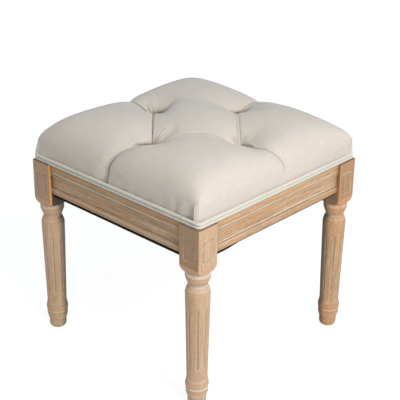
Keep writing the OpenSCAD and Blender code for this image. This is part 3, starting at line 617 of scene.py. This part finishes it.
def side_detail(x, y, z):
    """Soft upright puckers above the welt, fuller near the corners, and a folded seam beside each corner,
    with painted shade beside the seam's ridge.
    """
    height = painted_shade = 0
    low, seam = ease((PUCKER_TOP - z) / 40), ease((SEAM_TOP - z) / 18)
    side = SEAT_HALF - 0.01
    dents = 1.2 * bell(SEAT_HALF - x - 58, 8) + 0.8 * bell(SEAT_HALF - x - 22, 7)
    height -= (y <= -side) * ease((DENT_TOP - z) / 30) * dents
    # The front, right, back and left side: place along it, where it is, and the end that is folded
    for along, on, end in ((x, y <= -side, 1), (y, x >= side, 1), (x, y >= side, -1), (y, x <= -side, -1)):
        d = SEAT_HALF - np.abs(along)
        wave = np.sin(along / 5.3 + 0.8 * np.sin(along / 31)) + 0.7 * np.sin(along / 8.9 + 2)
        corner_wave = np.sin(d / 4.6 - 1.5) * bell(d, 42) * ease((d - 9) / 8)
        height += on * low * (0.25 * wave + 0.55 * corner_wave)
        folded = on * seam * (along * end > 0) * np.where((x > 0) & (y < 0), 1, 0.35)
        tuck = 4.6 * np.clip(d / 8.6, 0, 1) * ease((10.2 - d) / 1.4) + 0.5 * bell(d - 8.6, 1.0)
        tuck -= 0.7 * bell(d - 6.4, 0.9) + 0.8 * bell(d - 11.6, 1.8)
        height += folded * tuck
        # Painted shade in the hollows on either side of the seam's ridge
        painted_shade = np.maximum(painted_shade, folded * (0.18 * bell(d - 6.4, 0.8) + 0.3 * bell(d - 10.8, 1.0)))
    return height, painted_shade


def displace_along_normals(obj, height):
    mesh = obj.data
    points = read(mesh.vertices, "co") + read(mesh.vertex_normals, "vector") * height[:, None] * MM
    mesh.vertices.foreach_set("co", points.ravel())
    mesh.update()


def cover_movement(lines):
    """How far pressure moves the cloth from the drawn shape, on the coarse grid: top and side fields."""
    skin = Skin(lines, 0, SIM_ROWS, COVER_FOOT)
    n, m = skin.n, len(skin.ring)
    x, y = skin.param.T
    on_creases = between_tufts(x, y) * bell(off_crease(x, y), 3)
    pins = on_creases * (1 - BACK_CHANNEL_EASE * (x < 0) * (y > 0))
    px, py = beside_pleats(x, y)
    for across, along in ((px, np.abs(y)), (py, np.abs(x))):
        pins = np.maximum(pins, ease((along - TUFT_REACH + 4) / 8) * bell(across, 4))
    for a, b in TUFTS:
        pins = np.maximum(pins, bell(np.hypot(x - a, y - b), 9))
    corner = np.minimum(np.abs(x), np.abs(y)) > SEAT_HALF - 1.5
    low = np.arange(len(pins)) >= n * n + (SIM_ROWS - 4) * m
    pins[corner | low] = 1
    moved, normals = settle(skin, pins)
    out = (moved * normals).sum(1)
    free = 1 - pins
    typical = np.median(out[free > 0.9])
    field = normals * np.clip(out - typical * free, LOW_POINT, HIGH_POINT)[:, None]
    top = field[:n * n].reshape(n, n, 3)
    rim = top[skin.ring[:, 1], skin.ring[:, 0]]
    return top, np.concatenate([rim[None], field[n * n:].reshape(SIM_ROWS, m, 3)])


def seat_cover(material):
    """The tufted cover, with its hem turned in under the board."""
    coarse = grid_lines(SIM_INNER, SIM_OUTER, SEAT_HALF)
    close = TUFT_REACH / (SIM_INNER * FINE) / 2 * np.concatenate([[0.5], np.arange(1, 29)])
    near_tufts = np.concatenate([close, TUFT_REACH - close, TUFT_REACH + close])
    fine = grid_lines(SIM_INNER * FINE, SIM_OUTER * FINE, SEAT_HALF, near_tufts)
    skin = Skin(fine, 0, SIDE_FINE_ROWS, COVER_FOOT, HEM_ROWS)
    top, side = cover_movement(coarse)
    places = np.interp(fine, coarse, np.arange(len(coarse)))
    skin.top += resample(top, places, places)
    step = len(coarse) - 1
    rows = np.linspace(0, SIM_ROWS, SIDE_FINE_ROWS + 1)[1:]
    closed = np.concatenate([side, side[:, :1]], 1)
    for strip in range(4):
        part = resample(closed[:, strip * step:(strip + 1) * step + 1], rows, places)
        first = strip * (len(fine) - 1)
        skin.side[:SIDE_FINE_ROWS, first:first + len(fine) - 1] += part[:, :-1]
    faces, uv = split(skin.faces(), skin.cloth_uv(), (skin.n - 1) ** 2)
    obj = mesh_object("seat_cover_linen", skin.points(), faces, material)
    set_uv(obj, uv)
    x, y = skin.param.T
    z = skin.points()[:, 2]
    on_hem = np.arange(len(x)) >= skin.n ** 2 + (SIDE_FINE_ROWS - 1) * len(skin.ring)
    # Each detail gives a rise, and painted shade for the linen's colour in its creases, pockets, hollows and
    # seams
    height, painted_shade = pillow_lips(x, y), 0
    for detail in (pleats, creases, pockets, gathers, side_detail):
        rise, shade = detail(x, y, z)
        height, painted_shade = height + rise, np.maximum(painted_shade, shade)
    displace_along_normals(obj, height * ~on_hem * ease((z - FRAME_TOP) / 8))
    layer = obj.data.attributes.new("painted_shade", "FLOAT", "POINT")
    layer.data.foreach_set("value", painted_shade * ~on_hem)
    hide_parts("seat_cover")
    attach(obj, "root")


PAD_GRID, PAD_ROWS = (24, 18), 4


def inner_pad(name, node, material, depth, thickness):
    """Foam, or a blanket of wadding where a thickness is given, under the cover."""
    outer = Skin(grid_lines(*PAD_GRID, SEAT_HALF - depth), depth, PAD_ROWS, BOARD_TOP)
    points, faces = outer.points(), outer.faces()
    m, count = len(outer.ring), len(points)
    rim = count - m + np.arange(m)
    if thickness:
        depth += thickness
        inner = Skin(grid_lines(*PAD_GRID, SEAT_HALF - depth), depth, PAD_ROWS, BOARD_TOP)
        points = np.concatenate([points, inner.points()])
        turned = inner.faces()[:, ::-1] + count
        edge = np.stack([rim, rim + count, np.roll(rim, -1) + count, np.roll(rim, -1)], 1)
        faces = np.concatenate([faces, turned, edge]).tolist()
    else:
        points = np.concatenate([points, [[0, 0, BOARD_TOP]]])
        faces = faces.tolist() + np.stack([rim, 0 * rim + count, np.roll(rim, -1)], 1).tolist()
    obj = mesh_object(name, points, faces, material)
    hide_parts(node)
    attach(obj, "root")


# Welt

# Height between the cords as a share of their width, the cloth's turn past half of each, and its unevenness
PITCH_SHARE, MEET, WOBBLE = 0.97, math.radians(76), 0.22
ROLL_POINTS, STRAIGHT_STEPS, CORNER_STEPS = 18, 90, 12


def rounded_square(half, radius):
    """Points and outward directions round a square path, anticlockwise from the front left corner."""
    t = np.linspace(-1, 1, STRAIGHT_STEPS, endpoint=False)
    a = np.linspace(-math.pi / 2, 0, CORNER_STEPS, endpoint=False)
    arc = np.column_stack([np.cos(a), np.sin(a)])
    line = np.column_stack([t * (half - radius), 0 * t - half])
    side = np.concatenate([line, [half - radius, radius - half] + radius * arc])
    out = np.concatenate([np.tile([0, -1], (STRAIGHT_STEPS, 1)), arc])
    turns = [np.linalg.matrix_power([[0, 1], [-1, 0]], q) for q in range(4)]
    return (np.concatenate([part @ turn for turn in turns]) for part in (side, out))


def welt(material):
    """The double welt: one strip of cloth round two cords, with a sewn valley between them."""
    path, outs = rounded_square(WELT_HALF, CORNER_R)
    radius = WELT_D / 2
    low_z = FRAME_TOP + SOFT_GAP + radius
    section = []
    for centre, first in ((WELT_D * PITCH_SHARE, -MEET), (0, math.pi - MEET)):
        for k in range(ROLL_POINTS):
            a = first + (math.pi + 2 * MEET) * k / (ROLL_POINTS - 1)
            section.append((radius * math.cos(a), centre + radius * math.sin(a)))
    section = np.array(section)
    size = len(section)
    points = []
    for (px, py), (ox, oy) in zip(path, outs):
        for o, z in section:
            wobble = noise.noise(Vector((px / 9, py / 9, (z + o) / 5))) * WOBBLE
            wide = 1 + wobble / radius
            points.append((px + ox * o * wide, py + oy * o * wide, low_z + z + wobble * 0.4))
    lengths, around = (np.cumsum([0, *np.hypot(*(np.roll(loop, -1, 0) - loop).T)])
                       for loop in (path, section))
    i, k = np.divmod(np.arange(len(points)), size)
    j, up = (i + 1) % len(path), (k + 1) % size
    faces = np.stack([i * size + k, j * size + k, j * size + up, i * size + up], 1)
    uv = np.stack([lengths[[i, i + 1, i + 1, i]], around[[k, k, k + 1, k + 1]]], -1)
    obj = mesh_object("double_welt", points, faces.tolist(), material)
    set_uv(obj, uv.transpose(1, 0, 2) * MM)
    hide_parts("welt_sleeve")
    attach(obj, "root")


# Dust cover

RAIL_FOOT = 318.0
DUST_HALF = 217.4
DUST_LEG_HALF = 175.0
DUST_T = 0.5
# Where the cloth starts to hang from the rails, and how far it sags in the middle
DUST_FREE_HALF, DUST_SAG = 190.0, 5.0
# How far the edge hangs on each side, with more to the right of the front and to the front of the right
FRONT_DROP, FRONT_DROP_MORE, BACK_DROP, LEFT_DROP, RIGHT_DROP, LEG_DROP = 5.2, 0.4, 0.5, 1.2, 1.0, 3.4


def dust_cover(material):
    """The cloth under the frame, stapled to the rails, with a slight sag."""
    lines = np.unique(np.concatenate([
        np.linspace(-DUST_LEG_HALF, DUST_LEG_HALF, 71),
        *(s * np.linspace(DUST_LEG_HALF, DUST_HALF, 10) for s in (-1, 1))]))
    x, y = np.meshgrid(lines, lines)
    u, v = (np.clip(place / DUST_FREE_HALF, -1, 1) for place in (x, y))
    sag = DUST_SAG * (1 - u * u) * (1 - v * v)
    drop = (FRONT_DROP + FRONT_DROP_MORE * ease((x + 40) / 160)) * ease((-y - 205) / 10)
    drop += BACK_DROP * ease((y - 205) / 10) + LEFT_DROP * ease((-x - 205) / 10)
    near_leg = ease((-y - 105) / 45) * ease((190 + y) / 14)
    drop += ease((x - 203) / 12) * (RIGHT_DROP + LEG_DROP * near_leg)
    ripple = 0.25 * np.sin(x / 17) * np.sin(y / 23)
    z = RAIL_FOOT - DUST_T - sag - drop - np.abs(ripple)
    n = len(lines)
    keep = (np.abs(x) <= DUST_LEG_HALF + 0.01) | (np.abs(y) <= DUST_LEG_HALF + 0.01)
    number = -np.ones(n * n, int)
    number[keep.ravel()] = np.arange(keep.sum())
    quads = number[np.roll(grid_quads(n)[:, ::-1], 1, 1)]
    quads = quads[(quads >= 0).all(1)]
    points = np.stack([x, y, z], -1).reshape(-1, 3)[keep.ravel()]
    obj = mesh_object("dust_cover_cloth", points, quads.tolist(), material)
    set_uv(obj, points[quads.ravel()][:, :2] * MM)
    shell = obj.modifiers.new("thickness", "SOLIDIFY")
    shell.thickness = DUST_T * MM
    shell.offset = 1
    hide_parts("dust_cover")
    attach(obj, "root")


# Wood

# The leg's axis and outer face, the foot of its block, and its face just under the surface, in metres
LEG_AXIS, BLOCK_FACE, BLOCK_FOOT, BLOCK_SKIN = 0.201, 0.225, 0.300, 0.2236
# The lined panel of a block: height of its middle, half width and half height
PANEL_Z, PANEL_HALF_W, PANEL_HALF_H = 0.334, 0.0132, 0.0212
SHAFT_FOOT_Z, SHAFT_LENGTH, SHAFT_FOOT_R, SHAFT_TOP_R = 0.064, 0.18, 0.0197, 0.0234
FLUTE_FOOT_Z, FLUTE_TOP_Z = 0.082, 0.211
# Bands up the turning and the rails, as [height in millimetres, share]
LEG_LIME = [
    (23.5, 0), (25.5, 0.55), (30, 0.3), (32, 0), (38.5, 0.1), (40.5, 0.85), (44.5, 0.85), (45.5, 0.1),
    (55.5, 0.15), (57.5, 0.7), (59.5, 0.25), (62, 0)]
NECK_LIME = [
    (248.5, 0.05), (250.5, 0.5), (252, 0.1), (257.5, 0.5), (261.5, 0.4), (264, 0.1), (266, 0.4), (267.5, 0),
    (274.5, 0.3), (276.5, 0.1), (280, 0.3), (282, 0.8), (286.2, 0.8), (288, 0.1)]
LEG_ORANGE = [
    (22, 0.15), (31.5, 0.5), (37, 0.6), (39.5, 0.1), (45.5, 0.3), (47, 0.75), (53, 0.75), (56, 0.3),
    (62, 0.1)]
NECK_ORANGE = [
    (236, 0), (246, 0.25), (252, 0.2), (255.5, 0.6), (257.5, 0.2), (268.5, 0.3), (271, 0.85), (276.5, 0.85),
    (279, 0.1), (288.5, 0.2), (290, 0.75), (296, 0.45), (305, 0.15)]
# Painted shade in the turning's quirks: dark lines of this half width at these heights
DARK_LINE_HALF = 0.9
LEG_LINES = [(38, 0.6), (44.6, 0.7), (53.9, 0.55), (57, 0.5)]
NECK_LINES = [(248.3, 0.6), (256.6, 0.7), (265, 0.7), (269, 0.7), (277.6, 0.7), (288.6, 0.75)]
LEG_DARK, NECK_DARK = ([(line + off, share if off == 0 else 0) for line, share in lines
                        for off in (-DARK_LINE_HALF, 0, DARK_LINE_HALF)] for lines in (LEG_LINES, NECK_LINES))
RAIL_LIME = [
    (357.5, 0), (358.3, 0.3), (360.3, 0.3), (361, 0), (363.6, 0), (364.4, 0.7), (366, 0.65), (366.8, 0)]
RAIL_LOW_LIME = [(332.5, 0.05), (333.7, 0.8), (336.4, 0.75), (337.2, 0)]
RAIL_FOOT_LIME = [
    (325, 0), (326.2, 0.6), (328.2, 0.55), (329.2, 0), (333, 0), (334.2, 0.25), (336, 0.2), (337.2, 0)]
RAIL_ORANGE = [
    (353, 0), (354.5, 0.4), (355.5, 0.4), (356.5, 0), (372.5, 0), (373.8, 0.5), (376.5, 0.5), (377.5, 0)]
# Painted shade along the rails: dark lines in the mouldings' grooves, at the foot and under the welt
RAIL_DARK = [
    (317, 0.1), (319.5, 0), (356.8, 0.05), (358.1, 0.2), (358.5, 0), (360.3, 0.1), (360.6, 0.3),
    (361.7, 0.25), (362.3, 0), (366.6, 0), (367.2, 0.5), (368, 0)]
RAIL_LOW_DARK = [(331, 0), (332.2, 0.45), (333.3, 0.35), (333.8, 0), (377.2, 0), (379.2, 0.5)]
RAIL_FOOT_DARK = [
    (323.8, 0), (324.8, 0.45), (325.6, 0), (332.2, 0), (333, 0.15), (333.8, 0), (377.2, 0), (379.2, 0.9)]


def oak(name, along, calm, pore):
    """Oak with its grain along axis 0, 1 or 2. Returns the look, its colour, streaks and fine grain."""
    g = Look(name, 0.62)
    place = g.place()

    def grain(across, length, shift):
        scale = [1 / across] * 3
        scale[along] = 1 / length
        return g.scaled(place, tuple(scale), shift)

    broad = g.noise(grain(0.016, 0.20, (3, 1, 5)), 1, 3, 0.55, 0.6)
    streaks = g.noise(grain(0.0030, 0.075, (0, 4, 2)), 1, 6, 0.66, 0.5)
    streaks = g.line(streaks, calm, 0.525 * (1 - calm))
    blotches = g.noise(g.scaled(place, (240, 240, 240), (1, 6, 3)), 1, 4, 0.65)
    fine = g.noise(grain(0.0013, 0.04, (8, 2, 1)), 1, 3, 0.6, 0.1)
    colour = g.ramp(streaks, [(0.34, srgb(124, 93, 64)), (0.44, srgb(168, 135, 102)),
                              (0.53, srgb(194, 162, 128)), (0.66, srgb(226, 204, 174))])
    warm = g.ramp(broad, [(0.42, 0), (0.64, 0.65)])
    colour = g.mix(warm, colour, g.mix(streaks, srgb(170, 120, 72), srgb(220, 170, 116)))
    colour = g.mix(g.ramp(blotches, [(0.5, 0), (0.72, 0.5)]), colour, srgb(209, 190, 164))
    colour = g.mix(g.ramp(blotches, [(0.28, 0.45), (0.46, 0)]), colour, srgb(142, 104, 70))
    colour = g.mix(g.ramp(fine, [(0.56, 0), (0.66, pore)]), colour, srgb(226, 211, 188))
    colour = g.mix(g.ramp(fine, [(0.33, pore), (0.42, 0)]), colour, srgb(124, 90, 60))
    return g, colour, streaks, fine


def patches(g):
    """Where lime and rubbing show more and less."""
    uneven = g.noise(g.scaled(g.place(), (70, 70, 70), (5, 5, 5)), 1, 3)
    return g.ramp(uneven, [(0.32, 0.6), (0.56, 1.0)])


def by_height(g, z, stops):
    """Share at the height z of stops in millimetres, and none past the first and last."""
    low, high = stops[0][0] - 1, stops[-1][0] + 1
    share = g.over(g.minus(z, low * MM), (high - low) * MM)
    inside = g.times(g.above(z, low * MM), g.below(z, high * MM))
    return g.times(g.ramp(share, [((h - low) / (high - low), v) for h, v in stops]), inside)


# Lime, painted shade in the grooves and under the welt, and rubbed wear, over the oak
def limed(g, colour, lime, dark, rubbed):
    colour = g.mix(lime, colour, srgb(226, 218, 204))
    colour = g.mix(g.times(dark, 0.8), colour, srgb(112, 76, 46))
    return g.mix(rubbed, colour, srgb(224, 160, 96))


def finish_oak(g, colour, streaks, fine):
    height = g.plus(g.times(streaks, 0.6), g.times(fine, 0.8))
    return g.finish(colour, height, 0.00035, 0.6, g.line(streaks, 0.2, 0.52))


def leg_oak():
    """Oak of the legs, with lime in the grooves and flutes, lined panels, faces that differ by leg, painted
    shade in the grooves, under the welt and on the inner faces, and painted light on the strip before each
    rail.
    """
    g, colour, streaks, fine = oak("limed_oak_leg", 2, 0.6, 0.3)
    x, y, z = g.split(g.place())
    patchy = patches(g)
    ax, ay = g.size(x), g.size(y)
    widest, narrow = g.most(ax, ay), g.least(ax, ay)

    def bands(low, high):
        return g.plus(by_height(g, z, low), by_height(g, z, high))

    colour = g.mix(g.times(bands(LEG_ORANGE, NECK_ORANGE), patchy), colour, srgb(206, 144, 86))
    # The routed line of the panel: lime in it, and painted shade on its inner wall
    off_side = g.minus(g.size(g.minus(narrow, LEG_AXIS)), PANEL_HALF_W)
    off_end = g.minus(g.size(g.minus(z, PANEL_Z)), PANEL_HALF_H)
    from_line = g.times(g.most(off_side, off_end), 200.0)
    on_face = g.above(widest, BLOCK_SKIN)
    worn = g.ramp(g.noise(g.scaled(g.place(), (55, 55, 55), (1, 7, 2)), 1, 2), [(0.4, 0.35), (0.6, 0.95)])
    panel = g.times(g.times(g.ramp(g.size(from_line), [(0.12, 1.0), (0.32, 0)]), on_face), worn)
    inner = g.ramp(g.plus(from_line, 0.5), [(0, 0), (0.16, 0.7), (0.24, 0.7), (0.38, 0)])
    # Painted shade: dark lines in the turning's quirks and on the inner wall of the panel's line
    dark = g.most(bands(LEG_DARK, NECK_DARK), g.times(inner, on_face))
    # Painted shadow of the welt along the top of each block
    dark = g.most(dark, g.times(g.above(z, 0.3785), 0.8))
    # The front leg keeps most of its lime, and the others less
    front = g.above(g.minus(x, y), 0.3)
    lime = g.times(bands(LEG_LIME, NECK_LIME), g.line(front, 0.55, 0.45))
    # The flutes: limed on their flanks, with painted shade in their beds
    off_x, off_y = (g.calc("POWER", g.minus(place, LEG_AXIS), 2.0) for place in (ax, ay))
    radius = g.calc("SQRT", g.plus(off_x, off_y))
    shaft = g.line(g.minus(z, SHAFT_FOOT_Z), (SHAFT_TOP_R - SHAFT_FOOT_R) / SHAFT_LENGTH, SHAFT_FOOT_R)
    sunk = g.times(g.minus(shaft, radius), 500.0)
    in_shaft = g.times(g.above(z, FLUTE_FOOT_Z), g.below(z, FLUTE_TOP_Z))
    flank = g.times(g.ramp(sunk, [(0.05, 0), (0.2, 0.4), (0.5, 0.4), (0.62, 0.1)]), in_shaft)
    bed = g.times(g.ramp(sunk, [(0.55, 0), (0.7, 0.6)]), in_shaft)
    lime = g.most(g.most(lime, flank), panel)
    dark = g.most(dark, bed)
    # The outer arris, rubbed back to the warm wood
    on_block = g.above(z, BLOCK_FOOT)
    arris = g.times(g.above(g.plus(ax, ay), 2 * BLOCK_FACE - 0.0012), on_block)
    # Painted shade: the front block's left face, turned from the key light, is browner
    front_shaded_face = g.times(g.times(front, on_block), g.above(ay, 0.2243))
    # All but the right leg are a little greyer, the side legs' blocks most
    on_right = g.above(g.plus(x, y), 0.3)
    colour = g.mix(g.times(g.minus(1.0, on_right), 0.3), colour, srgb(210, 190, 168))
    side_block = g.times(g.minus(1.0, front), on_block)
    side_tint = g.mix(on_right, srgb(160, 132, 110), srgb(156, 112, 78))
    colour = g.mix(g.times(side_block, 0.45), colour, side_tint)
    colour = g.mix(g.times(front_shaded_face, 0.55), colour, srgb(140, 104, 72))
    colour = limed(g, colour, g.times(lime, patchy), dark, g.times(arris, 0.8))
    # Painted shade: dark inner faces of the blocks under the rails, and the inner side of the turning, where
    # the stool's underside shades them
    block_inside = g.below(narrow, 0.1775)
    under_rail_shade = g.times(g.ramp(g.times(z, 2.0), [(0.562, 0), (0.582, 1.0)]), block_inside)
    under_rail_shade = g.times(under_rail_shade, g.line(on_right, -0.45, 0.95))
    inner_turning_shade = g.minus(2 * LEG_AXIS, g.plus(ax, ay))
    inner_turning_shade = g.over(inner_turning_shade, g.times(radius, ROOT_2))
    inner_turning_shade = g.times(g.ramp(inner_turning_shade, [(0.55, 0), (0.95, 0.75)]), g.below(z, BLOCK_FOOT))
    colour = g.mix(g.most(under_rail_shade, inner_turning_shade), colour, srgb(58, 42, 30))
    # The strip of each block that stands before its rail: worn wood with painted light on it, brighter on all
    # but the right leg
    proud = g.times(block_inside, g.above(widest, 0.2203))
    lit_worn_strip = g.mix(on_right, srgb(238, 168, 94), srgb(176, 112, 62))
    colour = g.mix(g.times(proud, g.line(on_right, -0.3, 0.85)), colour, lit_worn_strip)
    return finish_oak(g, colour, streaks, fine)


def rail_oak(name, along, calm, tint, low_lime, low_dark):
    """Oak of the rails, with lime and wear along their mouldings, and painted shade in their grooves, under
    the welt and at their ends beside the legs.
    """
    g, colour, streaks, fine = oak(name, along, calm, 0.5)
    place = g.split(g.place())
    z, patchy = place[2], patches(g)
    # Painted shade at the rails' ends, beside the legs
    ends = g.ramp(g.times(g.size(place[along]), 5.0), [(0.78, 0), (0.855, 0.35), (0.883, 0.9)])
    dark = g.most(g.most(by_height(g, z, RAIL_DARK), by_height(g, z, low_dark)), ends)
    lime = g.times(g.plus(by_height(g, z, RAIL_LIME), by_height(g, z, low_lime)), patchy)
    rubbed = g.times(g.times(by_height(g, z, RAIL_ORANGE), patchy), 0.7)
    colour = g.mix(0.14, limed(g, colour, lime, dark, rubbed), tint)
    return finish_oak(g, colour, streaks, fine)


def sawn_wood(name, dark, light, along_scale):
    g = Look(name, 0.8)
    grain = g.noise(g.scaled(g.place(), along_scale), 1, 4, 0.6, 0.3)
    colour = g.ramp(grain, [(0.35, dark), (0.65, light)])
    return g.finish(colour, grain, 0.0003, 0.5)


def plywood():
    g = Look("plywood", 0.75)
    place = g.place()
    _, _, z = g.split(place)
    grain = g.noise(g.scaled(place, (14, 420, 420)), 1, 4, 0.6, 0.2)
    plies = g.calc("SINE", g.times(z, 2 * math.pi / 0.0034))
    colour = g.ramp(grain, [(0.35, srgb(190, 158, 112)), (0.65, srgb(221, 194, 150))])
    colour = g.mix(g.ramp(plies, [(0.45, 0), (0.7, 0.35)]), colour, srgb(160, 122, 82))
    return g.finish(colour, grain, 0.0002, 0.5)


def steel():
    g = Look("zinc_steel", 0.38)
    g.put(g.shader, "Metallic", 1.0)
    spots = g.noise(g.place(), 900, 4)
    colour = g.ramp(spots, [(0.3, srgb(168, 170, 172)), (0.7, srgb(205, 206, 206))])
    return g.finish(colour, spots, 0.0001, 0.3, g.line(spots, 0.2, 0.3))


def soft_material(name, low, high, cells, fluff, depth, rough=0.95, fluff_rough=0.6, strength=0.8):
    """Foam, wadding, twine, cord or unwoven cloth: an open, irregular surface."""
    g = Look(name, rough)
    place = g.place()
    cells = g.add("ShaderNodeTexVoronoi", {"Vector": place, "Scale": cells}, out="Distance")
    fluff = g.noise(place, fluff, 5, fluff_rough)
    return g.finish(g.mix(fluff, low, high), g.plus(cells, fluff), depth, strength)


def moulded():
    g = Look("disc_plastic", 0.45)
    grainy = g.noise(g.place(), 1500, 3)
    colour = g.ramp(grainy, [(0.3, srgb(222, 218, 208)), (0.7, srgb(232, 229, 221))])
    return g.finish(colour, grainy, 0.00006, 0.4)


# Camera, light and floor

def place_camera():
    """The camera looks at the target from the photograph's angle, with its small roll."""
    camera = new_object("camera", bpy.data.cameras.new("camera"))
    turn = Matrix.Rotation(CAMERA_AZIMUTH, 4, "Z") @ Matrix.Rotation(math.pi / 2 - CAMERA_ELEVATION, 4, "X")
    turn = turn @ Matrix.Rotation(CAMERA_ROLL, 4, "Z")
    away = Matrix.Translation((0, 0, CAMERA_DISTANCE))
    camera.matrix_world = Matrix.Translation(CAMERA_TARGET) @ turn @ away
    camera.data.sensor_width = SENSOR
    camera.data.lens = CAMERA_FOCAL_PIXELS / PHOTO_PIXELS * SENSOR
    camera.data.clip_end = 100
    scene.camera = camera


def place_lamps():
    """A soft key lamp from the right, and a weak fill from the front."""
    for name, direction, distance, size, level, colour in LAMPS:
        direction = Vector(direction).normalized()
        lamp = bpy.data.lights.new(name, "AREA")
        lamp.shape = "DISK"
        lamp.size = size
        lamp.color = colour
        lamp.energy = level * math.pi ** 2 * distance ** 2
        holder = new_object(name, lamp)
        holder.location = LAMP_AIM + direction * distance
        holder.rotation_euler = direction.to_track_quat("Z", "Y").to_euler()


def place_world():
    """Soft light from all round, tinted by its direction. The camera sees it as white."""
    scene.world = bpy.data.worlds.new("studio")
    g = Nodes(scene.world)
    _, y, z = g.split(g.add("ShaderNodeTexCoord", out="Generated"))
    upward = g.mix(z, WORLD_SIDE_TINT, WORLD_TOP_TINT)
    backward = g.mix(g.line(y, 0.5, 0.5), WORLD_FRONT_TINT, WORLD_BACK_TINT)
    light = g.tree.nodes["Background"]
    g.put(light, "Strength", WORLD_LEVEL)
    g.put(light, "Color", g.mix(1.0, upward, backward, "MULTIPLY"))
    white = g.add("ShaderNodeBackground", {"Color": WHITE})
    shown = g.mix_shaders(g.seen_ray(), light.outputs[0], white)
    g.put(g.tree.nodes["World Output"], "Surface", shown)


def place_floor():
    """A pale floor that shows white to the camera and keeps the stool's shadow."""
    h = FLOOR_SIZE / 2
    corners = [(-h, -h, 0), (h, -h, 0), (h, h, 0), (-h, h, 0)]
    g = Look("floor", 1.0)
    g.put(g.shader, "Base Color", FLOOR_COLOUR)
    g.put(g.shader, "Specular IOR Level", 0)
    plain = g.shader.outputs[0]
    glow = g.add("ShaderNodeEmission", {"Strength": FLOOR_CAMERA_GLOW})
    white = g.mix_shaders(FLOOR_CAMERA_SHARE, glow, plain)
    g.put(g.tree.nodes["Material Output"], "Surface", g.mix_shaders(g.seen_ray(), plain, white))
    mesh_object("floor", corners, [(0, 1, 2, 3)], g.material, 1)


place_camera()
place_lamps()
place_world()
place_floor()

linen = cloth_material("linen", srgb(212, 206, 197), 0.0013)
piping = cloth_material("piping", srgb(214, 213, 204), 0.0011, turn=math.pi / 4, depth=0.00018)
seat_cover(linen)
welt(piping)
dust_cover(soft_material("dust_cloth", srgb(8, 8, 8), srgb(22, 21, 21), 700, 320, 0.00025, 0.85, 0.7, 0.6))
foam = soft_material("foam", srgb(226, 208, 150), srgb(240, 226, 180), 900, 540, 0.0004)
fibre = soft_material("wadding", srgb(236, 234, 228), srgb(248, 247, 243), 260, 156, 0.0008)
inner_pad("foam_block", "foam_pad", foam, COVER_T + WADDING_T + 2 * SOFT_GAP, 0)
inner_pad("wadding_blanket", "wadding", fibre, COVER_T + SOFT_GAP, WADDING_T)

block_wood = sawn_wood("block_wood", srgb(168, 128, 88), srgb(204, 168, 124), (260, 260, 12))
twine = soft_material("twine", srgb(226, 220, 206), srgb(243, 238, 226), 1400, 840, 0.0002)
metal = steel()
looks = {
    "leg": leg_oak(),
    "rail_front": rail_oak("limed_oak_rail_x", 0, 0.7, srgb(100, 84, 72), RAIL_FOOT_LIME, RAIL_FOOT_DARK),
    "rail_left": rail_oak("limed_oak_rail_y", 1, 0.65, srgb(172, 148, 112), RAIL_LOW_LIME, RAIL_LOW_DARK),
    "rail_dowels": block_wood,
    "corner_block_screws": metal,
    "corner_block": block_wood,
    "seat_board": plywood(),
    "twine_discs": moulded(),
    "tuft_twine": twine,
    "welt_cords": twine,
}
looks["rail_back"] = looks["rail_front"]
looks["rail_right"] = looks["rail_left"]
# All that the list of looks leaves out is steel
for name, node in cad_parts.items():
    if node.hide_render:
        continue
    keys = [key for key in looks if name.startswith(key)]
    node.data.materials.clear()
    node.data.materials.append(looks[max(keys, key=len)] if keys else metal)

scene.view_settings.view_transform = "Standard"
